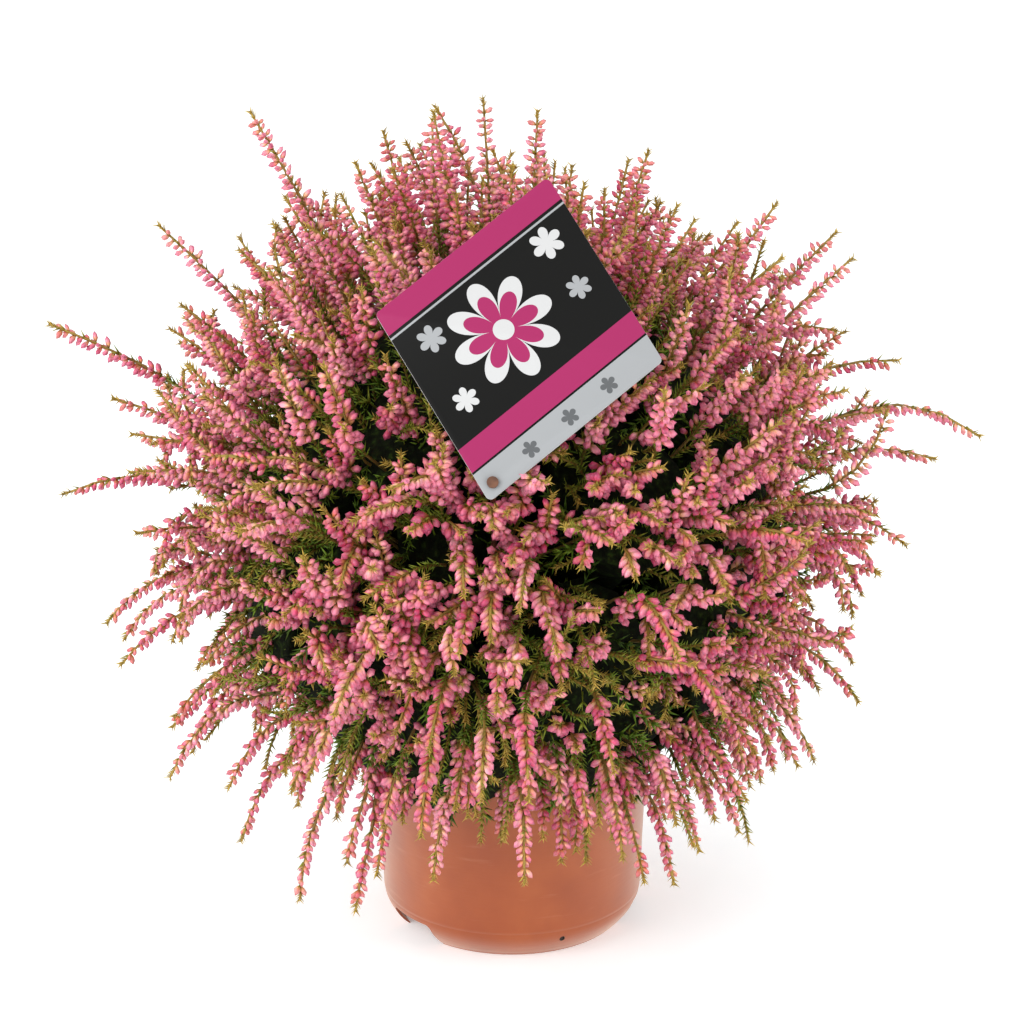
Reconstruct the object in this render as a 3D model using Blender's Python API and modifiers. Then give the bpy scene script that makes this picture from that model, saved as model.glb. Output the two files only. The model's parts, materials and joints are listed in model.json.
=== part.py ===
"""Potted heather: a dome of bud-flowering shoots in a round nursery pot, with a diamond label on a rod.

The pot stands on its foot at z = 0, with its axis on the origin. -Y is the side that faces the viewer.
Every shoot is one smooth stream from the woody rootstock to its own tip on the dome. The shoots near
each other make up a spray: a leafy core that fills the inside of the bush, and the bud spikes on it.
"""

import math

import bmesh
import bpy
import numpy as np
from mathutils import Matrix, Vector

MM = 0.001
PART_NAME = "potted_heather"
GAP = 0.3 * MM

# Pot: a 12 cm nursery pot, moulded in one piece.
POT_HEIGHT = 92 * MM
POT_RIM_RADIUS = 60 * MM
POT_COLLAR_HEIGHT = 10 * MM
POT_NECK_RADIUS = 55.6 * MM
POT_HEEL_RADIUS = 53 * MM
POT_HEEL_HEIGHT = 12 * MM
POT_FOOT_RADIUS = 46 * MM
POT_WALL = 1.4 * MM
POT_FLOOR_UNDERSIDE = 11 * MM
ROUND_STEPS = 40
ARCH_AZIMUTHS = (-143, -6, 108)
ARCH_WIDTH = 24 * MM
ARCH_HEIGHT = 10 * MM
DRAIN_COUNT = 6
DRAIN_CIRCLE = 30 * MM
DRAIN_RADIUS = 4.5 * MM
WEEP_AZIMUTH = -63
WEEP_HEIGHT = 5 * MM
WEEP_RADIUS = 1.1 * MM

# Compost: fills the pot to just under the collar, with an uneven top.
SOIL_TOP = 80 * MM
SOIL_LUMP = 0.7 * MM
SOIL_TOP_RINGS = 3
SOCKET_GAP = 1.3 * GAP

# Rootstock: a short trunk in its hole in the compost, swollen to the crown that the shoots grow from.
CROWN_HEIGHT = 102 * MM
CROWN_RADIUS = 14 * MM
TRUNK_RADIUS = 7 * MM
TRUNK_FOOT = 56 * MM
ROOTSTOCK_STEPS = 20

# Label: a rhombus card that lies against the front of the bush, held at its lower corner by a rod.
CARD_CENTRE = Vector((2.5 * MM, -95 * MM, 276.7 * MM))
CARD_TILT = 36
CARD_TURN = 9.7
CARD_HALF_HEIGHT = 63.8 * MM
CARD_HALF_WIDTH = 53.6 * MM
CARD_THICKNESS = 0.8 * MM
CARD_CORNER_RADIUS = 2 * MM
CARD_HOLE_RADIUS = 1.5 * MM
CARD_HOLE_DROP = 56.5 * MM
ROD_RADIUS = 1.1 * MM
ROD_HEAD_RADIUS = 2.2 * MM
ROD_HEAD_THICKNESS = 0.9 * MM
ROD_KNEE = 12 * MM
ROD_SOIL_ENTRY = Vector((-5 * MM, -38 * MM, 80 * MM))
ROD_BURIED = 34 * MM
ROD_CLEAR = 10.5 * MM
ROD_INFLUENCE = 26 * MM
CARD_CLEAR = 9 * MM
CARD_MARGIN = 1.15

# Dome: tips are placed by azimuth, lean from the vertical and reach from the heart of the dome.
HEART_HEIGHT = 160 * MM
LEAN_LIMIT = 140
REACH_SIDE = 150 * MM
REACH_TOP_EXTRA = 18 * MM
REACH_SKIRT_LOSS = 34 * MM
REACH_SCATTER = 7 * MM
SEED = 23

# Course of a shoot: it sets out steeper than its tip points, and droops more and more past DROOP_FROM.
SET_OUT_SHARE = 0.6
DROOP = 36
DROOP_FROM = 50
DROOP_OVER = 90
DROOP_SLACK = 0.35
STEEPEST_END = 178

# The outstanding shoots: azimuth, lean (degrees), reach (mm) and how far each tip nods (degrees).
LONG_SHOOTS = [
    (169, 31, 202, 0), (-174, 31, 171, 0), (180, 46, 191, 0), (-167, 50, 170, 0), (165, 62, 157, 0),
    (180, 63, 204, 0), (-171, 66, 172, 0), (171, 76, 160, 0), (161, 86, 168, 0), (-177, 82, 180, 20),
    (-163, 82, 154, 0), (-173, 99, 165, 25), (169, 108, 172, 20), (-162, 101, 164, 20),
    (-152, 107, 155, 10), (-171, 122, 154, 20), (-158, 118, 165, 10), (-151, 130, 160, 0),
    (-138, 137, 165, 0), (-124, 130, 149, 0), (-121, 134, 163, 0), (-105, 129, 150, 0),
    (180, 21, 169, 0), (149, 20, 173, 0), (-162, 10, 183, 0), (114, 9, 179, 0), (-90, 13, 171, 0),
    (50, 5, 176, 0), (-59, 18, 170, 0), (0, 18, 171, 0), (37, 25, 158, 0), (-25, 25, 164, 0),
    (27, 40, 158, 0), (0, 36, 175, 0), (-21, 40, 171, 10), (4, 45, 180, 0), (-6, 47, 181, 0),
    (16, 61, 160, 0), (0, 63, 171, 25), (-14, 65, 162, 10), (6, 80, 174, 20), (-3, 75, 191, 45),
    (-11, 86, 158, 30), (-9, 107, 144, 20), (-18, 109, 152, 15), (-41, 114, 136, 0),
    (-28, 119, 145, 10), (-42, 127, 149, 0), (-53, 127, 150, 0), (-58, 131, 156, 0), (-65, 129, 154, 0),
    (84, 66, 196, 10), (110, 48, 188, 0), (128, 70, 186, 15), (60, 58, 184, 0), (42, 84, 182, 25),
    (96, 92, 176, 20), (140, 96, 178, 20), (66, 120, 160, 10), (118, 128, 158, 0), (20, 126, 152, 10),
    (-88, 100, 182, 25), (-70, 84, 176, 20), (-112, 92, 172, 20), (-128, 72, 170, 10), (-48, 74, 168, 10),
    (-97, 84, 158, 20), (-76, 102, 158, 20), (-103, 112, 162, 20), (-88, 122, 160, 15), (-60, 96, 158, 15),
    (-120, 106, 158, 15), (-72, 120, 156, 10), (-90, 72, 152, 10), (-84, 84, 156, 15), (-92, 92, 158, 15),
    (-101, 98, 160, 15), (-94, 104, 165, 20),
]

# Thin places where the shoots are short and the leafy inside shows: azimuth, lean, width, loss of reach.
HOLLOWS = [(-133, 94, 12, 26), (-118, 118, 11, 20), (-93, 76, 8, 16), (-70, 112, 12, 22), (-47, 104, 9, 18)]

# Shoots and sprays.
SHOOT_COUNT = 147
SKIRT_COUNT = 20
SKIRT_LEANS = (139, 128)
SPRAY_COUNT = 40
SPREAD_ROUNDS = 40
SPREAD_ANGLE = 17
SPREAD_STEP = 0.3
OWNER_ROUNDS = 6
ROOT_RADIUS = 1.6 * MM
CORE_RADIUS = 34 * MM
CORE_STATIONS = (0.0, 0.17, 0.34, 0.52, 0.70)
CORE_END = 0.8
SPIKE_ROOT = 0.5
SPIKE_START = 0.64
FAN_FROM = 0.36
FAN_OVER = 0.44
SPIKE_ROOT_RADIUS = 3 * MM
SPIKE_BASE_RADIUS = 9.5 * MM
SPIKE_TIP_RADIUS = 4.2 * MM
SPIKE_STATION_SPACING = 14 * MM
SIDES = 6
CORE_BUMP_IN = 0.82
SPIKE_BUMP_IN = 0.6
BUMP_LEAN = 0.35
LEAST_RADIUS = 1 * MM
CELL_SHARE = 0.9
OBSTACLE_SHARE = 1.45
OBSTACLE_GAP = 2.5 * MM
SAMPLES = 40

HEART = Vector((0, 0, HEART_HEIGHT))
CROWN = Vector((0, 0, CROWN_HEIGHT))

POT_COLOUR = (0.49, 0.15, 0.07)
SOIL_COLOUR = (0.03, 0.02, 0.014)
WOOD_COLOUR = (0.12, 0.07, 0.04)
SHOOT_COLOUR = (0.42, 0.13, 0.16)
CARD_COLOUR = (0.03, 0.03, 0.03)
ROD_COLOUR = (0.14, 0.07, 0.035)

for old in list(bpy.data.objects):
    bpy.data.objects.remove(old, do_unlink=True)

scene_root = bpy.context.scene.collection
parts = bpy.data.collections.new(PART_NAME)
cutters = bpy.data.collections.new("cutters")
scene_root.children.link(parts)
scene_root.children.link(cutters)


def material(name, colour, roughness):
    """A plain Principled material in the piece's own colour."""
    made = bpy.data.materials.new(name)
    made.use_nodes = True
    shader = made.node_tree.nodes["Principled BSDF"]
    shader.inputs["Base Color"].default_value = (*colour, 1)
    shader.inputs["Roughness"].default_value = roughness
    shader.inputs["Metallic"].default_value = 0
    return made


def add_object(name, mesh, collection=parts):
    """Put a mesh into the scene under its own name."""
    obj = bpy.data.objects.new(name, mesh)
    collection.objects.link(obj)
    if collection is cutters:
        obj.hide_render = True
        obj.display_type = "WIRE"
    return obj


def settled(obj):
    """The object's mesh with its modifiers applied, in the place where the object stands."""
    bpy.context.view_layer.update()
    evaluated = obj.evaluated_get(bpy.context.evaluated_depsgraph_get())
    mesh = bpy.data.meshes.new_from_object(evaluated)
    mesh.transform(obj.matrix_world)
    name, collection = obj.name, obj.users_collection[0]
    bpy.data.objects.remove(obj, do_unlink=True)
    mesh.name = name
    return add_object(name, mesh, collection)


def boolean(obj, tools, operation, solver="EXACT"):
    """Join or cut obj with every tool at once, apply it, and drop the tools."""
    group = bpy.data.collections.new(obj.name + "_tools")
    scene_root.children.link(group)
    for tool in tools:
        for home in list(tool.users_collection):
            home.objects.unlink(tool)
        group.objects.link(tool)
    modifier = obj.modifiers.new("join", "BOOLEAN")
    modifier.operation = operation
    modifier.operand_type = "COLLECTION"
    modifier.collection = group
    modifier.solver = solver
    if solver == "EXACT":
        modifier.material_mode = "TRANSFER"
    result = settled(obj)
    for tool in tools:
        bpy.data.objects.remove(tool, do_unlink=True)
    bpy.data.collections.remove(group)
    return result


def keep_largest_shell(obj):
    """Drop the loose scraps and fill the sealed hollows that fusing can leave: only the main skin stays."""
    shape = bmesh.new()
    shape.from_mesh(obj.data)
    waiting = set(shape.verts)
    shells = []
    while waiting:
        edge_of_shell = [waiting.pop()]
        shell = list(edge_of_shell)
        while edge_of_shell:
            vert = edge_of_shell.pop()
            for edge in vert.link_edges:
                other = edge.other_vert(vert)
                if other in waiting:
                    waiting.remove(other)
                    edge_of_shell.append(other)
                    shell.append(other)
        shells.append(shell)
    shells.sort(key=len)
    for shell in shells[:-1]:
        bmesh.ops.delete(shape, geom=shell, context="VERTS")
    shape.to_mesh(obj.data)
    shape.free()
    return obj


def turned(name, profile, steps):
    """A profile of (radius, height) points turned about the Z axis, closed at the axis."""
    mesh = bpy.data.meshes.new(name)
    edges = [(i, i + 1) for i in range(len(profile) - 1)]
    mesh.from_pydata([(r, 0, z) for r, z in profile], edges, [])
    obj = add_object(name, mesh)
    screw = obj.modifiers.new("turn", "SCREW")
    screw.steps = steps
    screw.render_steps = steps
    screw.use_merge_vertices = True
    screw.merge_threshold = 0.00001
    screw.use_normal_calculate = True
    return settled(obj)


def cylinder_cutter(name, radius, length, centre, axis, steps=10):
    """A round cutter of the given length along an axis."""
    mesh = bpy.data.meshes.new(name)
    shape = bmesh.new()
    bmesh.ops.create_cone(shape, cap_ends=True, segments=steps, radius1=radius, radius2=radius, depth=length)
    shape.transform(Matrix.Translation(centre) @ axis.to_track_quat("Z", "Y").to_matrix().to_4x4())
    shape.to_mesh(mesh)
    shape.free()
    return add_object(name, mesh, cutters)


def around(azimuth, radius, height):
    """A point on a circle about the pot's axis."""
    angle = math.radians(azimuth)
    return Vector((radius * math.cos(angle), radius * math.sin(angle), height))


# Pot

def heel_curve(inset, top, steps=3):
    """The rounded lower edge, from the wall down to the foot, as (radius, height) points."""
    swell = POT_HEEL_RADIUS - POT_FOOT_RADIUS
    points = []
    for i in range(steps + 1):
        height = top * (1 - i / steps)
        radius = POT_FOOT_RADIUS + swell * math.sin(math.pi / 2 * height / POT_HEEL_HEIGHT)
        points.append((radius - inset, height))
    return points


def pot_inner_radius(height):
    """Radius of the inside of the tapered wall."""
    rise = (height - POT_HEEL_HEIGHT) / (POT_HEIGHT - POT_COLLAR_HEIGHT - POT_HEEL_HEIGHT)
    return POT_HEEL_RADIUS + (POT_NECK_RADIUS - POT_HEEL_RADIUS) * rise - POT_WALL


def make_pot():
    floor_top = POT_FLOOR_UNDERSIDE + POT_WALL
    neck = POT_HEIGHT - POT_COLLAR_HEIGHT
    edge = POT_WALL / 3
    profile = [
        (0, floor_top),
        (pot_inner_radius(floor_top), floor_top),
        (pot_inner_radius(neck), neck),
        (POT_RIM_RADIUS - POT_WALL - edge, neck + POT_WALL),
        (POT_RIM_RADIUS - POT_WALL, POT_HEIGHT - edge),
        (POT_RIM_RADIUS - POT_WALL + edge, POT_HEIGHT),
        (POT_RIM_RADIUS - edge, POT_HEIGHT),
        (POT_RIM_RADIUS, POT_HEIGHT - edge),
        (POT_RIM_RADIUS - edge, neck),
        (POT_NECK_RADIUS, neck - edge),
    ]
    profile += heel_curve(0, POT_HEEL_HEIGHT)
    profile += reversed(heel_curve(POT_WALL, POT_FLOOR_UNDERSIDE, 3))
    profile += [(0, POT_FLOOR_UNDERSIDE)]
    pot = turned("pot", profile, ROUND_STEPS)
    tools = []
    for i, azimuth in enumerate(ARCH_AZIMUTHS):
        mesh = bpy.data.meshes.new("arch_cutter")
        shape = bmesh.new()
        bmesh.ops.create_cube(shape, size=1)
        shape.transform(Matrix.Diagonal((3 * POT_HEEL_HEIGHT, ARCH_WIDTH, 2 * ARCH_HEIGHT, 1)))
        shape.transform(Matrix.Rotation(math.radians(azimuth), 4, "Z"))
        shape.transform(Matrix.Translation(around(azimuth, POT_FOOT_RADIUS, 0)))
        shape.to_mesh(mesh)
        shape.free()
        tools.append(add_object(f"arch_cutter_{i}", mesh, cutters))
    up = Vector((0, 0, 1))
    for i in range(DRAIN_COUNT):
        place = around(i * 360 / DRAIN_COUNT, DRAIN_CIRCLE, POT_FLOOR_UNDERSIDE)
        tools.append(cylinder_cutter(f"drain_cutter_{i}", DRAIN_RADIUS, 8 * POT_WALL, place, up))
    weep = around(WEEP_AZIMUTH, POT_FOOT_RADIUS, WEEP_HEIGHT)
    outward = around(WEEP_AZIMUTH, 1, 0)
    tools.append(cylinder_cutter("weep_cutter", WEEP_RADIUS, 8 * POT_WALL, weep, outward, 8))
    pot = boolean(pot, tools, "DIFFERENCE")
    pot.data.materials.clear()
    pot.data.materials.append(material("terracotta_plastic", POT_COLOUR, 0.45))
    return pot


# Label frame: the card's own axes, and the route of the rod that holds it

def card_axes():
    """The card's right, up and outward directions."""
    tilt, turn = math.radians(CARD_TILT), math.radians(CARD_TURN)
    outward = Vector((0, -math.cos(tilt), math.sin(tilt)))
    steep = Vector((0, math.sin(tilt), math.cos(tilt)))
    level = Vector((1, 0, 0))
    up = steep * math.cos(turn) + level * math.sin(turn)
    right = level * math.cos(turn) - steep * math.sin(turn)
    return right, up, outward


CARD_RIGHT, CARD_UP, CARD_OUT = card_axes()
CARD_HOLE = CARD_CENTRE - CARD_UP * CARD_HOLE_DROP


def rod_route():
    """Points of the rod: straight out of the compost, round its knee, and square through the card."""
    knee = CARD_HOLE - CARD_OUT * ROD_KNEE
    rise = (knee - ROD_SOIL_ENTRY).normalized()
    foot = ROD_SOIL_ENTRY - rise * ROD_BURIED
    front = CARD_HOLE + CARD_OUT * (CARD_THICKNESS / 2 + GAP + ROD_HEAD_THICKNESS / 2)
    bend = ROD_KNEE / 3
    early, late = knee - rise * bend, knee + CARD_OUT * bend
    return foot, [foot, early, (early + knee * 2 + late) / 4, late, front]


# Shoots

def direction(azimuth, lean):
    """Unit vector at an azimuth and a lean from the vertical, in degrees."""
    a, b = math.radians(azimuth), math.radians(lean)
    return Vector((math.cos(a) * math.sin(b), math.sin(a) * math.sin(b), math.cos(b)))


def spiral(count):
    """Directions on an even spiral over the dome, from its top to the lean limit."""
    low = math.cos(math.radians(LEAN_LIMIT))
    golden = math.degrees(math.pi * (3 - math.sqrt(5)))
    heights = [1 - (i + 0.5) / count * (1 - low) for i in range(count)]
    return np.array([direction(i * golden, math.degrees(math.acos(h))) for i, h in enumerate(heights)])


def spread(fixed, free):
    """Let the free directions push apart from all the others, so that they share the dome evenly."""
    limit = math.radians(SPREAD_ANGLE)
    low = math.cos(math.radians(LEAN_LIMIT))
    for _ in range(SPREAD_ROUNDS):
        every = np.vstack([fixed, free])
        away = free[:, None, :] - every[None, :, :]
        distance = np.linalg.norm(away, axis=2)
        distance[distance < 1e-6] = 9
        strength = np.clip(limit - distance, 0, None) / distance
        free = free + SPREAD_STEP * (away * strength[:, :, None]).sum(axis=1)
        free[:, 2] = np.maximum(free[:, 2], low)
        free /= np.linalg.norm(free, axis=1)[:, None]
    return free


def dome_reach(way):
    """Distance from the heart to the dome's surface: tall on top, tucked in at the skirt."""
    reach = REACH_SIDE + (REACH_TOP_EXTRA if way.z > 0 else REACH_SKIRT_LOSS) * way.z
    for azimuth, lean, width, loss in HOLLOWS:
        off = math.degrees(way.angle(direction(azimuth, lean)))
        reach -= loss * MM * math.exp(-(off / width) ** 2)
    return reach


def behind_card(way, reach):
    """Shorten the reach where the card presses the shoots down."""
    tip = HEART + way * reach - CARD_CENTRE
    across = abs(tip.dot(CARD_RIGHT)) / CARD_HALF_WIDTH + abs(tip.dot(CARD_UP)) / CARD_HALF_HEIGHT
    proud = tip.dot(CARD_OUT) + CARD_CLEAR
    if across < CARD_MARGIN and proud > 0:
        reach -= proud / way.dot(CARD_OUT)
    return reach


def stream(way, reach, nod=0, samples=SAMPLES):
    """A shoot from the crown's surface to its tip: it leaves steeply and droops the more it leans out."""
    lean = math.acos(max(-1, min(1, way.z)))
    azimuth = math.degrees(math.atan2(way.y, way.x))
    ease = min(1, max(0, (math.degrees(lean) - DROOP_FROM) / DROOP_OVER))
    start_way = direction(azimuth, math.degrees(lean) * SET_OUT_SHARE)
    end_way = direction(azimuth, min(STEEPEST_END, math.degrees(lean) + DROOP * ease + nod))
    start = CROWN + start_way * (CROWN_RADIUS + GAP)
    tip = HEART + way * reach
    pull = (tip - start).length * (1 + DROOP_SLACK * ease)
    side = 1 if tip.x > CARD_HOLE.x else -1
    points = []
    for i in range(samples + 1):
        t = i / samples
        t2, t3 = t * t, t * t * t
        point = start * (2 * t3 - 3 * t2 + 1) + start_way * pull * (t3 - 2 * t2 + t)
        point += tip * (3 * t2 - 2 * t3) + end_way * pull * (t3 - t2)
        points.append(round_rod(point, side))
    return points


def round_rod(point, side):
    """Move a point clear of the rod, to the side its shoot passes on; the further off it is, the less."""
    foot, route = rod_route()
    span = route[3] - foot
    along = min(1, max(0, (point - foot).dot(span) / span.length_squared))
    distance = (point - (foot + span * along)).length
    if distance < ROD_INFLUENCE:
        point.x += side * ROD_CLEAR * (1 - distance / ROD_INFLUENCE)
    return point


def smooth(value):
    value = min(1, max(0, value))
    return value * value * (3 - 2 * value)


def plan_shoots():
    """Every shoot's direction, reach and nod, and the sprays that they belong to."""
    rng = np.random.default_rng(SEED)
    long_ways = np.array([direction(a, b) for a, b, _, _ in LONG_SHOOTS])
    skirt = [direction(i * 360 / SKIRT_COUNT, SKIRT_LEANS[i % 2]) for i in range(SKIRT_COUNT)]
    dome = spiral(SHOOT_COUNT - SKIRT_COUNT - len(LONG_SHOOTS))
    free = spread(long_ways, np.vstack([skirt, dome]))
    shoots = []
    for way, (_, _, reach, nod) in zip(long_ways, LONG_SHOOTS):
        way = Vector(way)
        shoots.append((way, behind_card(way, reach * MM), nod))
    for way in free:
        way = Vector(way)
        reach = dome_reach(way) + REACH_SCATTER * rng.uniform(-1, 1)
        shoots.append((way, behind_card(way, reach), 0))
    ways = np.array([way for way, _, _ in shoots])
    centres = spiral(SPRAY_COUNT)
    for _ in range(OWNER_ROUNDS):
        owner = np.argmax(ways @ centres.T, axis=1)
        for j in range(SPRAY_COUNT):
            if np.any(owner == j):
                mean = ways[owner == j].sum(axis=0)
                centres[j] = mean / np.linalg.norm(mean)
    sprays = []
    for j in range(SPRAY_COUNT):
        members = [shoots[i] for i in np.flatnonzero(owner == j)]
        if members:
            sprays.append((Vector(centres[j]), members))
    return sprays


def spray_lines(centre, members):
    """The spray's own axis, and each shoot's line, which leaves that axis part way up."""
    axis = stream(centre, dome_reach(centre))
    lines = []
    for way, reach, nod in members:
        own = stream(way, reach, nod)
        line = []
        for i, (a, b) in enumerate(zip(axis, own)):
            line.append(a.lerp(b, smooth((i / SAMPLES - FAN_FROM) / FAN_OVER)))
        lines.append(line)
    return axis, lines


def at(line, t):
    """The point at a share t of a sampled line, and the way the line runs there."""
    place = min(max(t * SAMPLES, 0), SAMPLES - 1e-6)
    i = int(place)
    return line[i].lerp(line[i + 1], place - i), (line[i + 1] - line[i]).normalized()


def bumpy_loft(name, stations, tip, bump_in, room):
    """A closed shoot through (centre, way, radius) stations, whose staggered corners stand out as buds.

    Corners of every second place point outwards and on towards the tip; those between them sink in, and
    the faces are split from sunk corner to sunk corner, so that each raised corner is a bud of its own.
    No corner stands out further than the room that its spoke finds up to the neighbours.
    """
    shape = bmesh.new()
    rings = []
    side = stations[0][1].orthogonal()
    for k, (centre, way, radius) in enumerate(stations):
        side = (side - way * side.dot(way)).normalized()
        up = way.cross(side)
        step = (stations[k + 1][0] if k + 1 < len(stations) else tip) - centre
        ring = []
        for i in range(SIDES):
            raised = (i + k) % 2 == 0 and k > 0
            angle = 2 * math.pi * i / SIDES
            spoke = side * math.cos(angle) + up * math.sin(angle)
            out = max(min(radius, room(centre, spoke)), LEAST_RADIUS) if k > 0 else radius
            corner = centre + spoke * out * (1 if raised else bump_in)
            if raised:
                corner += step * BUMP_LEAN
            ring.append(shape.verts.new(corner))
        rings.append(ring)
    for k in range(len(rings) - 1):
        low, high = rings[k], rings[k + 1]
        for i in range(SIDES):
            j = (i + 1) % SIDES
            if (i + k) % 2 == 0:
                shape.faces.new((low[i], low[j], high[i]))
                shape.faces.new((low[j], high[j], high[i]))
            else:
                shape.faces.new((low[i], low[j], high[j]))
                shape.faces.new((low[i], high[j], high[i]))
    end = shape.verts.new(tip)
    for i in range(SIDES):
        shape.faces.new((rings[-1][i], rings[-1][(i + 1) % SIDES], end))
    shape.faces.new(list(reversed(rings[0])))
    bmesh.ops.recalc_face_normals(shape, faces=shape.faces)
    mesh = bpy.data.meshes.new(name)
    shape.to_mesh(mesh)
    shape.free()
    return add_object(name, mesh)


def half_way(centre, spoke, points):
    """Distance along a spoke to the first plane that lies half way between the centre and a point."""
    away = points - np.array(centre)
    along = away @ np.array(spoke)
    ahead = along > 1e-9
    if not ahead.any():
        return math.inf
    return ((away[ahead] ** 2).sum(axis=1) / (2 * along[ahead])).min()


def fixed_obstacles():
    """Points on the card, the rod and the pot's rim that the foliage stays clear of."""
    points = []
    for i in range(-12, 13):
        for j in range(-12, 13):
            if abs(i) + abs(j) <= 12:
                right = CARD_RIGHT * CARD_HALF_WIDTH * i / 12
                up = CARD_UP * CARD_HALF_HEIGHT * j / 12
                points.append(CARD_CENTRE + right + up)
    foot, route = rod_route()
    for i in range(60):
        points.append(foot.lerp(route[3], i / 59))
    for i in range(72):
        points.append(around(i * 5, POT_RIM_RADIUS, POT_HEIGHT))
    return np.array(points)


def make_sprays():
    """One node for each spray: its leafy core with its spikes fused in.

    Each corner stands out as far as it wants to, or to its side of the plane half way to its neighbours.
    """
    shoots = material("budding_shoots", SHOOT_COLOUR, 0.7)
    plans = [spray_lines(centre, members) for centre, members in plan_shoots()]
    outer = int(SPIKE_START * SAMPLES)
    axes = [np.array(axis) for axis, _ in plans]
    spikes_of = [[np.array(line[outer:]) for line in lines] for _, lines in plans]
    obstacles = fixed_obstacles()
    for j, (axis, lines) in enumerate(plans):
        others = [cloud for i in range(len(plans)) if i != j for cloud in [axes[i]] + spikes_of[i]]
        near_core = np.vstack(others)

        def core_room(centre, spoke):
            kept = half_way(centre, spoke, obstacles) * OBSTACLE_SHARE - OBSTACLE_GAP
            return min(half_way(centre, spoke, near_core) * CELL_SHARE, kept)

        stations = []
        for t in CORE_STATIONS:
            point, way = at(axis, t)
            grown = smooth(t / CORE_STATIONS[-2])
            stations.append((point, way, ROOT_RADIUS + (CORE_RADIUS - ROOT_RADIUS) * grown))
        core = bumpy_loft(f"spray_{j + 1:02d}", stations, at(axis, CORE_END)[0], CORE_BUMP_IN, core_room)
        core.data.materials.append(shoots)
        spikes = []
        for k, line in enumerate(lines):
            near_spike = np.vstack(others + [cloud for i, cloud in enumerate(spikes_of[j]) if i != k])

            def spike_room(centre, spoke):
                kept = half_way(centre, spoke, obstacles) * OBSTACLE_SHARE - OBSTACLE_GAP
                return min(half_way(centre, spoke, near_spike) * CELL_SHARE, kept)

            start = at(line, SPIKE_START)[0]
            count = max(2, round((line[-1] - start).length / SPIKE_STATION_SPACING))
            root, way = at(axis, SPIKE_ROOT)
            stations = [(root, way, SPIKE_ROOT_RADIUS)]
            for s in range(count):
                point, way = at(line, SPIKE_START + (1 - SPIKE_START) * s / count)
                taper = (SPIKE_TIP_RADIUS - SPIKE_BASE_RADIUS) * s / count
                stations.append((point, way, SPIKE_BASE_RADIUS + taper))
            spikes.append(bumpy_loft(f"spike_{j + 1:02d}_{k}", stations, line[-1], SPIKE_BUMP_IN, spike_room))
        keep_largest_shell(boolean(core, spikes, "UNION", "MANIFOLD"))


# Compost and rootstock

def make_soil():
    floor = POT_FLOOR_UNDERSIDE + POT_WALL + GAP
    edge = pot_inner_radius(SOIL_TOP) - GAP
    profile = [(edge * i / SOIL_TOP_RINGS, SOIL_TOP) for i in range(SOIL_TOP_RINGS + 1)]
    profile += [(pot_inner_radius(floor) - GAP, floor), (0, floor)]
    soil = turned("compost", profile, ROUND_STEPS)
    for vertex in soil.data.vertices:
        place = vertex.co
        radius = math.hypot(place.x, place.y)
        if place.z > SOIL_TOP - GAP and radius < edge * 0.9:
            wave = math.sin(place.x / (7 * MM) + 1) * math.cos(place.y / (6 * MM))
            place.z += SOIL_LUMP * (wave + math.sin(place.y / (11 * MM)))
    trunk_depth = CROWN_HEIGHT - TRUNK_FOOT
    socket = Vector((0, 0, TRUNK_FOOT - GAP + trunk_depth / 2))
    up = Vector((0, 0, 1))
    foot, route = rod_route()
    rise = (route[1] - foot).normalized()
    length = 2 * ROD_BURIED
    bore = foot - rise * GAP + rise * length / 2
    tools = [
        cylinder_cutter("trunk_socket", TRUNK_RADIUS + SOCKET_GAP, trunk_depth, socket, up, ROOTSTOCK_STEPS),
        cylinder_cutter("rod_bore", ROD_RADIUS + SOCKET_GAP, length, bore, rise, 8),
    ]
    soil = boolean(soil, tools, "DIFFERENCE")
    soil.data.materials.clear()
    soil.data.materials.append(material("potting_compost", SOIL_COLOUR, 0.95))
    return soil


def make_rootstock():
    """Trunk and crown, turned as one profile: the crown is part of a ball that every shoot seats on."""
    waist = math.asin(TRUNK_RADIUS / CROWN_RADIUS)
    steps = 8
    profile = []
    for i in range(steps + 1):
        angle = (math.pi - waist) * i / steps
        profile.append((CROWN_RADIUS * math.sin(angle), CROWN_HEIGHT + CROWN_RADIUS * math.cos(angle)))
    profile += [(TRUNK_RADIUS, TRUNK_FOOT), (0, TRUNK_FOOT)]
    rootstock = turned("rootstock", profile, ROOTSTOCK_STEPS)
    rootstock.data.materials.append(material("heather_wood", WOOD_COLOUR, 0.85))
    return rootstock


# Label

def flat_curve(name, outlines, thickness):
    """A flat plate from 2D outlines: the first is its edge, and the others are holes."""
    curve = bpy.data.curves.new(name, "CURVE")
    curve.dimensions = "2D"
    curve.fill_mode = "BOTH"
    curve.extrude = thickness / 2
    for outline in outlines:
        spline = curve.splines.new("POLY")
        spline.points.add(len(outline) - 1)
        for point, (x, y) in zip(spline.points, outline):
            point.co = (x, y, 0, 1)
        spline.use_cyclic_u = True
    return add_object(name, curve)


def rounded_rhombus(half_width, half_height, radius, steps=4):
    """The corners of a rhombus, each rounded by an arc that meets both of its sides."""
    places = [(half_width, 0), (0, half_height), (-half_width, 0), (0, -half_height)]
    corners = [Vector(place) for place in places]
    outline = []
    for i, corner in enumerate(corners):
        before = (corners[i - 1] - corner).normalized()
        after = (corners[(i + 1) % 4] - corner).normalized()
        half = before.angle(after) / 2
        centre = corner + (before + after).normalized() * radius / math.sin(half)
        first = corner + before * radius / math.tan(half) - centre
        sweep = math.pi - 2 * half
        for k in range(steps + 1):
            spoke = Matrix.Rotation(sweep * k / steps, 2) @ first
            outline.append(tuple(centre + spoke))
    return outline


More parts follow.
